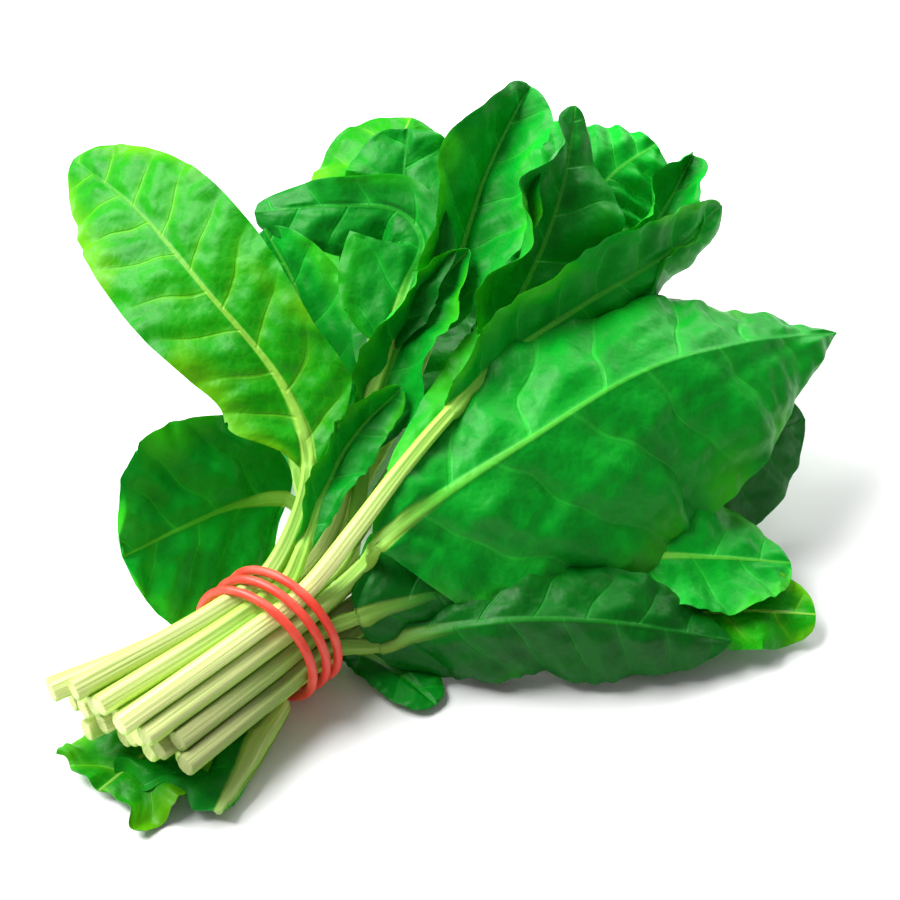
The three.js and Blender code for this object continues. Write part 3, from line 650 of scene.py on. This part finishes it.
class LeafSurface:
    """Works out the closed surface of one leaf.

    The surface is a grid. One parameter runs along the leaf's axis, the other round its section:
    over the upper side from the left margin to the right one, and back underneath. In the stem the
    section is a circle with a shallow channel on top. Towards the blade the outer part of each half
    opens into a thin sheet that bends away from the rib, and the circle shrinks into the rib under it.
    """

    SIDE_COLUMNS = 34  # steps from the middle of the rib to the margin
    STEM_STEP = 2.2  # mm between stations
    BLADE_STEP = 1.05
    RIB_SHARE = 0.16  # of those steps, the ones on the rib
    OPENING = (0.25, 2.2)  # half widths, in stem radii, over which the section opens into a sheet
    HALF_THICK = 0.28  # of the sheet, mm
    LOBE_AT = 0.14  # share of the blade
    LOBE_SPREAD = 0.07
    RIDGES = 9  # waves in a whole turn round the stalk
    RIDGE_HEIGHT = 0.022  # in stem radii
    CHANNEL_DEPTH = (0.1, 0.16)  # in stem radii, at the cut end, and how much more at the blade
    CHANNEL_WIDTH = 0.5  # radians
    CUT_BEVEL = 0.5  # mm
    RAGGED = 1.8  # mm, of a cut-off blade's edge
    FLAT_RIB = 0.42  # height of the rib on the upper side, in its radii
    VEIN_RIB = 0.22  # height of a side vein underneath, mm
    VEIN_SLANT = 0.55  # mm towards the tip for each mm from the rib
    VEIN_BEND = 0.0045  # mm more for each square mm
    VEIN_SWAY = 0.1  # in gaps between veins
    VEIN_STAGGER = 0.45  # between the two sides, in gaps
    CRINKLE = 0.16  # in quilting heights
    RUFFLE_POWER = 1.6  # of the share of the way out
    FRILL = 0.5  # height of the finer ruffle at the margin, mm
    FRILL_POWER = 3
    STALK_FADE = 26.0  # mm of the blade over which the stalk's colour ends

    def __init__(self, leaf: Leaf, seed: int) -> None:
        """Lays out the leaf's axis and its stations.

        Args:
            leaf: the leaf's values.
            seed: number of its own for uneven detail.
        """
        self.leaf = leaf
        self.stem = StemSize()
        self.swell = Swell(seed, 26.0)
        self.crinkle = Swell(seed + 100, 7.0)
        points = self._axis_points()
        self.axis = Spline(points)
        self.band_share = self.axis.share_at(1.5)
        self.blade_share = self.axis.share_at(len(points) - len(leaf.route) + leaf.blade)
        self.share = self._stations()
        self.part = np.clip((self.share - self.blade_share) / (1 - self.blade_share), 0, 1)
        self.along = (self.share - self.blade_share) * self.axis.length

    def _axis_points(self) -> list[Point]:
        """Cut end or root, straight run under the band, then the route to the tip.

        Returns:
            The points, mm.
        """
        leaf = self.leaf
        slot = BUNDLE.slot(*leaf.slot)
        grip = [(x, *slot) for x in BUNDLE.grip]
        if leaf.root:
            return [leaf.root, *grip[::-1], *leaf.route]
        fanned = BUNDLE.spread(slot, BUNDLE.cut_fan, BUNDLE.cut_shift) + np.array(leaf.cut_aside)
        cut_end = (leaf.cut, *fanned)
        if leaf.short:
            return [cut_end, *grip, *leaf.route]
        x, *fan = BUNDLE.leaf_fan
        together = (x, *BUNDLE.spread(slot, tuple(fan), (0, BUNDLE.leaf_lift)))
        return [cut_end, *grip, together, *leaf.route]

    def _stations(self) -> Array:
        """Where the section is worked out: closer together at the bevelled cut end, the base of the
        blade and the tip, where the outline turns.

        Returns:
            Shares of the axis.
        """
        stem = self.blade_share * self.axis.length
        blade = self.axis.length - stem
        stem_count = max(int(stem / self.STEM_STEP), 12)
        blade_count = max(int(blade / self.BLADE_STEP), 60)
        bevel = np.array([0.0, 0.12, 0.3, 0.55]) * self.CUT_BEVEL / self.axis.length
        even = np.linspace(0, 1, blade_count)
        eased = 0.5 * even + 0.25 * (1 - np.cos(np.pi * even))
        rest = np.linspace(self.CUT_BEVEL / self.axis.length, self.blade_share, stem_count)
        return np.concatenate([bevel, rest, self.blade_share + eased[1:] * (1 - self.blade_share)])

    def _stem_radius(self) -> Array:
        """Stem radius, falling evenly from one named size to the next, and a little less on the
        bevel of the cut end.

        Returns:
            One radius for each station, mm.
        """
        size = self.stem
        rib, rib_tip = size.rib * self.leaf.stout, size.rib_tip * self.leaf.stout
        sizes = (size.cut, size.band, size.neck, rib, rib_tip)
        thinned = self.blade_share + size.rib_share * (1 - self.blade_share)
        radius = np.interp(self.share, (0, self.band_share, self.blade_share, thinned, 1), sizes)
        from_cut = np.clip(self.share * self.axis.length / self.CUT_BEVEL, 0, 1)
        return radius * (0.88 + 0.12 * np.sqrt(1 - (1 - from_cut) ** 2))

    def _half_width(self, side: int) -> Array:
        """Half width of the blade: its size times (1 - x^2)^full, where x falls from 1 at the base to
        0 at the widest place and rises to 1 at the tip, and a bell-shaped lobe near the base.

        Args:
            side: 0 for the left half, 1 for the right.

        Returns:
            One half width for each station, mm.
        """
        leaf = self.leaf
        part = self.part * leaf.keep
        before = part < leaf.widest
        away = np.where(before, 1 - part / leaf.widest, (part - leaf.widest) / (1 - leaf.widest))
        oval = (1 - away**2).clip(0) ** np.where(before, *leaf.full)
        lobe = leaf.lobe[side] * np.exp(-(((part - self.LOBE_AT) / self.LOBE_SPREAD) ** 2))
        return self._read(leaf.half[side]) * (oval + lobe * (part > 0))

    def _read(self, course: float | tuple[float, ...]) -> Array:
        """One number, or a list read along the blade, at each station."""
        return through(np.ravel(course), self.part)

    def _half(self, side: int) -> dict[str, Array]:
        """One half of every section, from the rib out to the margin.

        The angle of the sheet rises from 0 on the rib's middle to fold at its edge, and has turned
        by curl more at the margin. The place is the running sum of that direction over the distance
        from the rib. The upper and lower sides lie off it by the root of the sum of two squares:
        the rib's circle and the sheet's half thickness.

        Args:
            side: 0 for the left half, 1 for the right.

        Returns:
            Arrays of one row for each station: sideways, upwards and angle give the middle surface,
            over and under the distances to the two sides, and the others are what the finish reads.
        """
        leaf, part = self.leaf, self.part[:, None]
        radius = self._stem_radius()[:, None]
        blade_width = self._half_width(side)[:, None]
        width = np.hypot(radius, blade_width)
        bladed = smooth_step(*self.OPENING, blade_width / radius)
        column = np.linspace(0, 1, self.SIDE_COLUMNS + 1)[None, :]
        rib_share = 1 + (self.RIB_SHARE - 1) * bladed
        round_part = np.pi / 2 * np.minimum(1, column / rib_share)
        sheet_part = np.clip((column - rib_share) / np.maximum(1 - rib_share, 1e-6), 0, 1)
        across = radius * np.sin(round_part) + (width - radius) * sheet_part
        out = across / width
        fold = np.radians(self._read(leaf.fold[side]))[:, None]
        curl = np.radians(self._read(leaf.curl[side]))[:, None]
        angle = bladed * (fold * (1 - np.cos(round_part)) + curl * out)
        middle = (angle[:, 1:] + angle[:, :-1]) / 2
        step = np.diff(across, axis=1)
        start = np.zeros_like(part)
        sideways = np.concatenate([start, np.cumsum(step * np.cos(middle), axis=1)], axis=1)
        upwards = np.concatenate([start, np.cumsum(step * np.sin(middle), axis=1)], axis=1)
        veins = self._veins(side, across)
        raised = self._relief(side, across, out, veins, blade_width) * bladed
        crown = radius * np.cos(round_part)
        ridged = 1 + self.RIDGE_HEIGHT * (1 - bladed) * np.cos(self.RIDGES * round_part + 1.0)
        sheet = self.HALF_THICK * bladed * np.sqrt(1 - out**8)
        shallow, deeper = self.CHANNEL_DEPTH
        depth = shallow + deeper * smooth_step(-60, 0, self.along)[:, None]
        channel = 1 - depth * np.exp(-((round_part / self.CHANNEL_WIDTH) ** 2))
        upper_rib = crown * ridged * (channel * (1 - bladed) + self.FLAT_RIB * bladed)
        clear_of_rib = smooth_step(1.2, 2.5, across / radius)
        vein_rib = self.VEIN_RIB * line_of(veins, 0.06) * bladed * (1 - out) * clear_of_rib
        stalk = 1 - smooth_step(-4, self.STALK_FADE * leaf.stout, self.along)
        return {
            "sideways": sideways - raised * np.sin(angle),
            "upwards": upwards + raised * np.cos(angle),
            "angle": angle,
            "over": np.hypot(upper_rib, sheet),
            "under": np.hypot(crown * ridged, sheet) + vein_rib,
            "across": across,
            "vein": veins,
            "rib": np.minimum(across / radius, 8.0),
            "out": out * bladed,
            "stalk": np.broadcast_to(stalk[:, None], across.shape),
        }

    def _veins(self, side: int, across: Array) -> Array:
        """Phase of the side veins, one more at each vein.

        A side vein leaves the rib at a slant and bends towards the tip: it moves along the leaf by a
        share of the distance from the rib and by a part that grows with its square.

        Args:
            side: 0 for the left half, 1 for the right.
            across: distance from the rib, mm.

        Returns:
            The phase at each point.
        """
        gap = self.leaf.vein_gap
        along = np.broadcast_to(self.along[:, None], across.shape)
        uneven = self.swell.at(along, (1 - 2 * side) * across)
        slant = self.VEIN_SLANT * across + self.VEIN_BEND * across**2
        sway = self.VEIN_SWAY * gap * uneven * np.minimum(1, across / 12)
        return (along - slant + sway) / gap + self.VEIN_STAGGER * side

    def _relief(self, side: int, across: Array, out: Array, veins: Array, width: Array) -> Array:
        """Height of the sheet off its smooth middle surface.

        The sum of the quilting, which is low along the veins, a fine crinkle, and ruffles that grow
        towards the margin and run along it as sines.

        Args:
            side: 0 for the left half, 1 for the right.
            across: distance from the rib, mm.
            out: that distance as a share of the way to the margin.
            veins: phase of the side veins.
            width: half width of the blade at each station, mm.

        Returns:
            The height at each point, mm.
        """
        leaf, part = self.leaf, self.part[:, None]
        sign = 1 - 2 * side
        along = np.broadcast_to(self.along[:, None], across.shape)
        clear = smooth_step(0.0, 0.22, out) * (1 - 0.55 * smooth_step(0.75, 1.0, out))
        scale = np.minimum(1, width / 12)
        groove = line_of(veins, 0.16) + 0.35 * line_of(veins * 2.0 + 0.5, 0.2)
        quilt = leaf.quilt * clear * scale * (
            0.9 - 1.1 * groove + 0.5 * self.swell.at(along * 0.8, sign * across * 0.8)
        )
        fine = self.crinkle.at(along, sign * across) * np.minimum(1, out * 4)
        crinkle = self.CRINKLE * leaf.quilt * scale * fine
        height, waves, phase = leaf.wave
        full = np.minimum(1, width / self._read(leaf.half[side])[:, None])
        turns = 2 * np.pi * waves * part + np.radians(phase) + 2 * side
        ruffle = height * full * out**self.RUFFLE_POWER * np.sin(turns)
        frilled = np.sin(3.7 * turns + 1.5 * np.sin(1.3 * turns))
        frill = self.FRILL * full * out**self.FRILL_POWER * frilled
        return quilt + crinkle + ruffle + frill

    def grid(self) -> tuple[Array, dict[str, Array]]:
        """The points of every section and the values that the finish reads.

        Returns:
            The points, by station and place round the section, and a dictionary of arrays of the
            same two dimensions.
        """
        face = through(np.atleast_2d(self.leaf.face), self.part)
        along = self.axis.tangent(self.share)
        left = unit(np.cross(face, along))
        up = np.cross(along, left)
        halves = self._half(0), self._half(1)

        def joined(name: str, mirrored: bool = False) -> Array:
            """Both halves as one row from the left margin to the right one."""
            sign = -1 if mirrored else 1
            return np.concatenate([sign * halves[0][name][:, :0:-1], halves[1][name]], axis=1)

        sideways = -joined("sideways", mirrored=True)
        angle = joined("angle", mirrored=True)
        middle = (
            self.axis.point(self.share)[:, None] + left[:, None] * sideways[..., None]
            + up[:, None] * joined("upwards")[..., None]
        )
        normal = left[:, None] * np.sin(angle)[..., None] + up[:, None] * np.cos(angle)[..., None]
        if self.leaf.root:
            near_end = smooth_step(0.8, 1, self.part)[:, None]
            torn = self.RAGGED * near_end * self.crinkle.at(sideways, 0 * sideways)
            middle = middle + torn[..., None] * along[:, None]
        upper = middle + normal * joined("over")[..., None]
        lower = middle - normal * joined("under")[..., None]
        values = {name: self._around(joined(name)) for name in ("vein", "rib", "out", "stalk")}
        values["across"] = self._around(joined("across", mirrored=True))
        values["along"] = self._around(np.broadcast_to(self.along[:, None], sideways.shape))
        values["under"] = np.zeros_like(values["vein"])
        values["under"][:, sideways.shape[1]:] = 1.0
        return self._around(upper, lower), values

    @staticmethod
    def _around(upper: Array, lower: Array | None = None) -> Array:
        """Round the section: the upper row, then the lower row back without its two ends."""
        lower = upper if lower is None else lower
        return np.concatenate([upper, lower[:, -2:0:-1]], axis=1)

    def faces(self, rows: int, count: int) -> list[list[int]]:
        """Faces of the closed grid.

        Args:
            rows: number of stations.
            count: number of points round a section.

        Returns:
            Quads between neighbouring stations, and strips that close the two ends by joining each
            upper point to the lower one beneath it.
        """
        faces = ring_faces(rows, count)
        last = (rows - 1) * count
        for column in range(count // 2):
            corners = (column, column + 1, (count - column - 1) % count, (count - column) % count)
            strip = list(dict.fromkeys(corners))
            faces.append(strip[::-1])
            faces.append([last + corner for corner in strip])
        return faces


def ring_faces(rings: int, count: int, closed: bool = False) -> list[list[int]]:
    """Quads between neighbouring rings of points.

    Args:
        rings: number of rings.
        count: number of points in each.
        closed: joins the last ring to the first.

    Returns:
        The corner numbers of each quad.
    """
    ring, side = np.meshgrid(np.arange(rings if closed else rings - 1), np.arange(count), indexing="ij")
    here, ahead, after = ring * count, (ring + 1) % rings * count, (side + 1) % count
    quads = np.stack([here + side, here + after, ahead + after, ahead + side], axis=-1)
    return quads.reshape(-1, 4).tolist()


def added(name: str, data: bpy.types.ID) -> bpy.types.Object:
    """Puts a new object into the scene.

    Args:
        name: the object's name.
        data: its mesh, lamp or camera.

    Returns:
        The object.
    """
    made = bpy.data.objects.new(name, data)
    bpy.context.scene.collection.objects.link(made)
    return made


def new_piece(
    name: str, points: Array, faces: list[list[int]], values: dict[str, Array],
) -> bpy.types.Object:
    """Makes a mesh object that sits at the origin, with its place in its points.

    Args:
        name: the object's name.
        points: places in the row frame, metres, one row each.
        faces: corner numbers of each face, turning left as seen from outside.
        values: numbers for each point, kept as attributes of those names.

    Returns:
        The object, smooth apart from its sharp edges.
    """
    mesh = bpy.data.meshes.new(name)
    mesh.from_pydata(points.tolist(), [], faces)
    for label, numbers in values.items():
        layer = mesh.attributes.new(label, "FLOAT", "POINT")
        layer.data.foreach_set("value", np.ascontiguousarray(numbers, np.float32).ravel())
    mesh.polygons.foreach_set("use_smooth", np.ones(len(mesh.polygons), bool))
    mesh.set_sharp_from_angle(angle=np.radians(55))
    mesh.update()
    return added(name, mesh)


@dataclass(frozen=True)
class LeafFinish:
    """Colours and gloss of one kind of leaf.

    blade and shade are the sheet's two greens, edge the tint of parts of its margin, vein and rib
    the paler lines, underside the paler back. stem and neck are the stalk's colours at its cut end
    and at the blade, and groove that of the stripes along it and of the painted shade down the
    stalk's sides, where neighbouring stems lie against each other. cell is the size of the fine net.
    """

    blade: str
    shade: str
    vein: str
    rib: str
    underside: str
    edge: str
    neck: str = "a0d45c"
    stem: str = "dce698"
    groove: str = "94c440"
    roughness: float = 0.42
    cell: float = 3.2


class LeafPaint:
    """Builds the material of one leaf.

    It reads the values that the surface carries: the place along and across the leaf in mm, the
    phase of the side veins, the distance from the rib in rib radii, the share of the way out to the
    margin, where the stalk ends, and which side is the underside.
    """

    def __init__(self, leaf: Leaf, finish: LeafFinish) -> None:
        """Starts the graph and works out the masks that several parts share.

        Args:
            leaf: the leaf, of which the name, the tone factor and a root matter here.
            finish: its colours.
        """
        self.leaf, self.finish = leaf, finish
        self.graph = graph = Graph("green_" + leaf.name)
        self.along, self.across = graph.attribute("along"), graph.attribute("across")
        self.ribs, self.out = graph.attribute("rib"), graph.attribute("out")
        self.spot = self._place(1.0, 1.0)
        self.mottle = graph.noise(self.spot, 0.5, 5.0)
        self.stripes = graph.noise(self._place(0.03, 1.6), 1.0, 2.0)
        self.stem = graph.product(graph.fade(self.ribs, 1.4, 1.02), graph.attribute("stalk"))
        self.phase = graph.math("PINGPONG", graph.attribute("vein"), 0.5)
        self.reach = graph.fade(self.out, 1.0, 0.35)
        self.vein = graph.product(graph.fade(self.phase, 0.045, 0.012), self.reach)
        swirl = graph.node("TexNoise", {"Vector": self.spot, "Scale": 0.35}).outputs["Color"]
        bent = graph.node("VectorMath", {0: self.spot, 1: swirl}, operation="ADD").outputs[0]
        self.cells = graph.node(
            "TexVoronoi", {"Vector": bent, "Scale": 1 / finish.cell},
            feature="DISTANCE_TO_EDGE", voronoi_dimensions="2D",
        ).outputs["Distance"]

    def _place(self, along: float, across: float) -> bpy.types.NodeSocket:
        """The place on the leaf as a vector.

        Args:
            along: factor on the distance along the leaf.
            across: factor on the distance across it.

        Returns:
            The socket of the vector.
        """
        graph = self.graph
        parts = {0: graph.product(self.along, along), 1: graph.product(self.across, across)}
        return graph.node("CombineXYZ", parts).outputs[0]

    def _layer(self, below, colour: str, mask, share: float) -> bpy.types.NodeSocket:
        """One colour laid over another where a mask is 1, at most by a share."""
        return self.graph.mix(self.graph.product(mask, share), below, paint(colour))

    def _blade(self) -> bpy.types.NodeSocket:
        """Colour of the sheet: two greens in clouds, a tinted margin, veins, net, rib and underside.

        Returns:
            The socket of the colour.
        """
        graph, finish = self.graph, self.finish
        clouds = graph.fade(graph.noise(self.spot, 0.055), 0.25, 0.6)
        tinted = graph.fade(graph.noise(self.spot, 0.03, 1.0), 0.45, 0.62)
        margin = graph.product(graph.fade(self.out, 0.45, 1.0), tinted)
        halo = graph.product(graph.fade(self.phase, 0.2, 0.0), self.reach)
        rib = graph.product(graph.fade(self.ribs, 1.1, 0.6), graph.fade(self.along, 140.0, 0.0))
        colour = graph.mix(clouds, paint(finish.shade), paint(finish.blade))
        colour = self._layer(colour, finish.edge, margin, 0.8)
        colour = self._layer(colour, finish.vein, halo, 0.3)
        colour = self._layer(colour, finish.vein, self.vein, 0.55)
        colour = self._layer(colour, finish.vein, graph.fade(self.cells, 0.09, 0.0), 0.13)
        colour = self._layer(colour, finish.underside, graph.attribute("under"), 0.6)
        colour = self._layer(colour, finish.rib, rib, 0.75)
        return self._layer(colour, finish.shade, graph.fade(self.mottle, 0.3, 0.8), 0.12)

    def _stalk(self) -> bpy.types.NodeSocket:
        """Colour of the stalk: paler towards the cut, greener in its stripes, with painted shade down
        its sides.

        Returns:
            The socket of the colour.
        """
        graph, finish = self.graph, self.finish
        neck = finish.stem if self.leaf.root else finish.neck
        colour = graph.mix(graph.fade(self.along, -10.0, -60.0), paint(neck), paint(finish.stem))
        # painted shade: greener down the stalk's sides, where neighbouring stems shade each other
        colour = self._layer(colour, finish.groove, graph.fade(self.ribs, 0.6, 1.0), 0.75)
        return self._layer(colour, finish.groove, graph.fade(self.stripes, 0.45, 0.75), 0.5)

    def _height(self) -> bpy.types.NodeSocket:
        """Fine relief: crumples, cells and sunk veins on the sheet, stripes on the stalk.

        Returns:
            The socket of the height.
        """
        graph = self.graph
        crumple = graph.product(graph.noise(self.spot, 0.16, 2.0), 2.6)
        height = graph.math("ADD", crumple, graph.product(self.cells, 0.6))
        height = graph.math("ADD", height, graph.product(self.mottle, 0.35))
        height = graph.math("SUBTRACT", height, graph.product(self.vein, 0.8))
        sheet = graph.product(height, graph.math("SUBTRACT", 1.0, self.stem))
        return graph.math("ADD", sheet, graph.product(self.stripes, self.stem))

    def material(self) -> bpy.types.Material:
        """Joins colour, relief and gloss in one shader.

        Returns:
            The material.
        """
        graph = self.graph
        colour = graph.mix(self.stem, self._blade(), self._stalk())
        # painted shade and light: the leaf's brightness factor darkens leaves that lie in shadow and
        # lightens those facing away from the key lamp, on top of their own tone
        toned_with_painted_light = graph.node("HueSaturation", {"Value": self.leaf.tone, "Color": colour}).outputs[0]
        bump = graph.node("Bump", {"Strength": 0.5, "Distance": 0.0004, "Height": self._height()})
        gloss = graph.product(self.mottle, 0.2)
        shader = graph.node("BsdfPrincipled", {
            "Base Color": toned_with_painted_light,
            "Roughness": graph.math("ADD", self.finish.roughness - 0.08, gloss),
            "Normal": bump.outputs[0],
            "Subsurface Weight": 0.06,
            "Subsurface Radius": (0.4, 1.0, 0.1),
            "Subsurface Scale": 0.0015,
            "Specular IOR Level": 0.15,
        })
        return graph.finish(shader.outputs[0])


FINISHES = {
    Green.LIGHT: LeafFinish(
        blade="149400", shade="0a8004", vein="5cb818", rib="a4d850", underside="48a830", edge="64b004",
    ),
    Green.MID: LeafFinish(
        blade="009820", shade="007e1a", vein="26ba32", rib="60c438", underside="20a838", edge="34b400",
    ),
    Green.DEEP: LeafFinish(
        blade="007e18", shade="006812", vein="14a026", rib="2ca42c", underside="169030", edge="149800",
    ),
}


class Leaves:
    """All the leaves of the bunch."""

    def __init__(self, placement: Placement) -> None:
        """Keeps where the bunch lies."""
        self.placement = placement

    def build(self) -> None:
        """Makes, dresses and places every leaf, in the table's order."""
        for number, leaf in enumerate(LEAVES):
            surface = LeafSurface(leaf, number)
            points, values = surface.grid()
            rows, count = points.shape[:2]
            faces = surface.faces(rows, count)
            placed = self.placement.metres(points.reshape(-1, 3))
            piece = new_piece("spinach_" + leaf.name, placed, faces, values)
            piece.data.materials.append(LeafPaint(leaf, FINISHES[leaf.green]).material())
            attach(piece, "root")
            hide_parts("leaf_" + leaf.name)
            low = placed[:, 2].min() / MM
            LOG.info("%s: %d stations, %d faces, lowest %.1f mm", piece.name, rows, len(faces), low)


# ---- rubber band ----


@dataclass(frozen=True)
class RubberFinish:
    """Coral rubber with a faint bloom and fine wear along its length."""

    colour: str = "e8412f"
    worn: str = "f0705a"
    roughness: float = 0.42

    def dress(self) -> bpy.types.Material:
        """Makes the material, with cloudy bloom and fine pits.

        Returns:
            The material.
        """
        graph = Graph("coral_rubber")
        place = graph.node("TexCoord").outputs["Object"]
        bloom = graph.fade(graph.noise(place, 160.0), 0.4, 0.75)
        pits = graph.noise(place, 2600.0, 2.0)
        colour = graph.mix(graph.product(bloom, 0.5), paint(self.colour), paint(self.worn))
        bump = graph.node("Bump", {"Strength": 0.25, "Distance": 0.0001, "Height": pits})
        shader = graph.node("BsdfPrincipled", {
            "Base Color": colour,
            "Roughness": graph.math("ADD", self.roughness, graph.product(bloom, 0.12)),
            "Normal": bump.outputs[0],
            "Subsurface Weight": 0.08,
            "Subsurface Radius": (1.0, 0.3, 0.2),
            "Subsurface Scale": 0.001,
        })
        return graph.finish(shader.outputs[0])


@dataclass(frozen=True)
class RubberBand:
    """One endless round band, wound three times round the bundle.

    Each turn lies beside the one before. On the hidden side the end of the last turn climbs over
    the others to meet the start of the first. The band leans by bow towards the leaves.
    """

    radius: float = 1.3
    turns: int = 3
    knots: int = 84
    spacing: float = 4.9
    evenness: float = 0.8
    half_y: float = 19.1
    half_z: float = 18.3
    x: float = 2.3
    bow: float = 1.5
    bow_angle: float = 156
    crossing_start: float = 350
    crossing_share: float = 0.09
    crossing_lift: float = 3.0
    steps: int = 900
    sides: int = 20

    def line(self) -> Spline:
        """Centre line: an oval round the bundle, with X moving on by about one spacing for each turn
        and coming back over the crossing. An evenness below 1 leaves more room after the first turn.

        Returns:
            The closed curve.
        """
        travel = np.arange(self.knots) / self.knots
        angle = np.radians(self.crossing_start) + 2 * np.pi * self.turns * travel
        crossing = np.maximum(0, (travel - 1 + self.crossing_share) / self.crossing_share)
        advance = np.minimum(1, travel / (1 - self.crossing_share)) ** self.evenness
        advance = advance - smooth_step(0.45, 0.85, crossing)
        lift = smooth_step(0.3, 0.55, crossing) - smooth_step(0.8, 1, crossing)
        climb = self.crossing_lift * lift
        y = BUNDLE.y + (self.half_y + climb) * np.cos(angle)
        z = BUNDLE.z + (self.half_z + climb) * np.sin(angle)
        bow = self.bow * np.cos(angle - np.radians(self.bow_angle))
        x = self.x + bow + (advance - 0.5) * self.turns * self.spacing
        return Spline(np.column_stack([x, y, z]), closed=True)

    def points(self) -> Array:
        """Surface of the band: a circle carried along the centre line, kept square to it.

        Returns:
            Points by step along the band and side round it, mm.
        """
        line = self.line()
        share = np.arange(self.steps) / self.steps
        along = line.tangent(share)
        x_axis = np.array([1.0, 0.0, 0.0])
        across = unit(x_axis - along * along[:, :1])
        outwards = np.cross(along, across)
        turn = 2 * np.pi * np.arange(self.sides) / self.sides
        cosine, sine = np.cos(turn)[None, :, None], np.sin(turn)[None, :, None]
        ring = across[:, None] * cosine + outwards[:, None] * sine
        return line.point(share)[:, None] + self.radius * ring

    def build(self, placement: Placement) -> None:
        """Makes, dresses and places the band.

        Args:
            placement: where the bunch lies.
        """
        faces = ring_faces(self.steps, self.sides, closed=True)
        placed = placement.metres(self.points().reshape(-1, 3))
        piece = new_piece("rubber_loop", placed, faces, {})
        piece.data.materials.append(RubberFinish().dress())
        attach(piece, "root")
        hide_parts("rubber_band")
        LOG.info("%s: %.0f mm of band in %d turns", piece.name, self.line().length, self.turns)


# ---- studio ----


@dataclass(frozen=True)
class Lamp:
    """One soft square light: how far it stands from the middle of the view, as right, away and up
    seen from the camera, mm, with its side in metres and its power in watts."""

    name: str
    right: float
    away: float
    up: float
    size: float
    watts: float


@dataclass(frozen=True)
class Studio:
    """Pale floor, soft lights and the camera, which looks down on the bunch from its front left."""

    aim: Point = (61.4, -14.5, 58.8)
    distance: float = 625.0
    elevation: float = 42.0
    heading: float = 42.0
    lens: float = 90.0
    floor_side: float = 6.0
    floor_gap: float = 0.2
    floor_white: float = 0.93
    surround: float = 0.22
    lamps: tuple[Lamp, ...] = (
        Lamp("key", -560, 190, 700, 0.7, 22.0),
        Lamp("back", 300, 700, 520, 0.6, 7.0),
    )

    def _axes(self) -> tuple[Array, Array]:
        """Level directions to the right and away from the camera."""
        turn = np.radians(self.heading)
        return np.array([np.sin(turn), -np.cos(turn), 0]), np.array([np.cos(turn), np.sin(turn), 0])

    def camera(self, placement: Placement) -> None:
        """Adds the camera and makes it the scene's own.

        Args:
            placement: where the bunch lies.
        """
        _, away = self._axes()
        tilt = np.radians(self.elevation)
        look = away * np.cos(tilt) - np.array([0, 0, np.sin(tilt)])
        data = bpy.data.cameras.new("camera")
        data.lens = self.lens
        data.clip_start = 0.01
        eye = added("camera", data)
        eye.location = placement.metres(np.array(self.aim) - self.distance * look).tolist()
        eye.rotation_euler = Vector(look.tolist()).to_track_quat("-Z", "Y").to_euler()
        bpy.context.scene.camera = eye

    def light(self, placement: Placement) -> None:
        """Adds the lamps, turned towards the middle of the view, and an even pale surround.

        Args:
            placement: where the bunch lies.
        """
        right, away = self._axes()
        aim = placement.metres(self.aim)
        for lamp in self.lamps:
            data = bpy.data.lights.new(lamp.name, "AREA")
            data.shape = "SQUARE"
            data.size = lamp.size
            data.energy = lamp.watts
            offset = (lamp.right * right + lamp.away * away + np.array([0, 0, lamp.up])) * MM
            holder = added(lamp.name, data)
            holder.location = (aim + offset).tolist()
            holder.rotation_euler = Vector((-offset).tolist()).to_track_quat("-Z", "Y").to_euler()
        world = bpy.data.worlds.new("surround")
        world.use_nodes = True
        sky = world.node_tree.nodes["Background"].inputs
        sky["Color"].default_value = (1, 1, 1, 1)
        sky["Strength"].default_value = self.surround
        bpy.context.scene.world = world
        bpy.context.scene.view_settings.view_transform = "Standard"

    def floor(self) -> None:
        """Adds the floor, a little under the bunch."""
        half = self.floor_side / 2
        mesh = bpy.data.meshes.new("floor")
        corners = ((-half, -half), (half, -half), (half, half), (-half, half))
        mesh.from_pydata([(x, y, -self.floor_gap * MM) for x, y in corners], [], [(0, 1, 2, 3)])
        graph = Graph("pale_floor")
        white = (self.floor_white, self.floor_white, self.floor_white, 1)
        shader = graph.node("BsdfPrincipled", {"Base Color": white, "Roughness": 0.7})
        mesh.materials.append(graph.finish(shader.outputs[0]))
        added("floor", mesh)


def main() -> None:
    """Builds the bunch and its studio."""
    logging.basicConfig(level=logging.INFO, format="%(name)s: %(message)s")
    band = RubberBand()
    placement = Placement.from_band(band.points().reshape(-1, 3))
    studio = Studio()
    studio.camera(placement)
    studio.light(placement)
    studio.floor()
    Leaves(placement).build()
    band.build(placement)


if __name__ == "__main__":
    main()
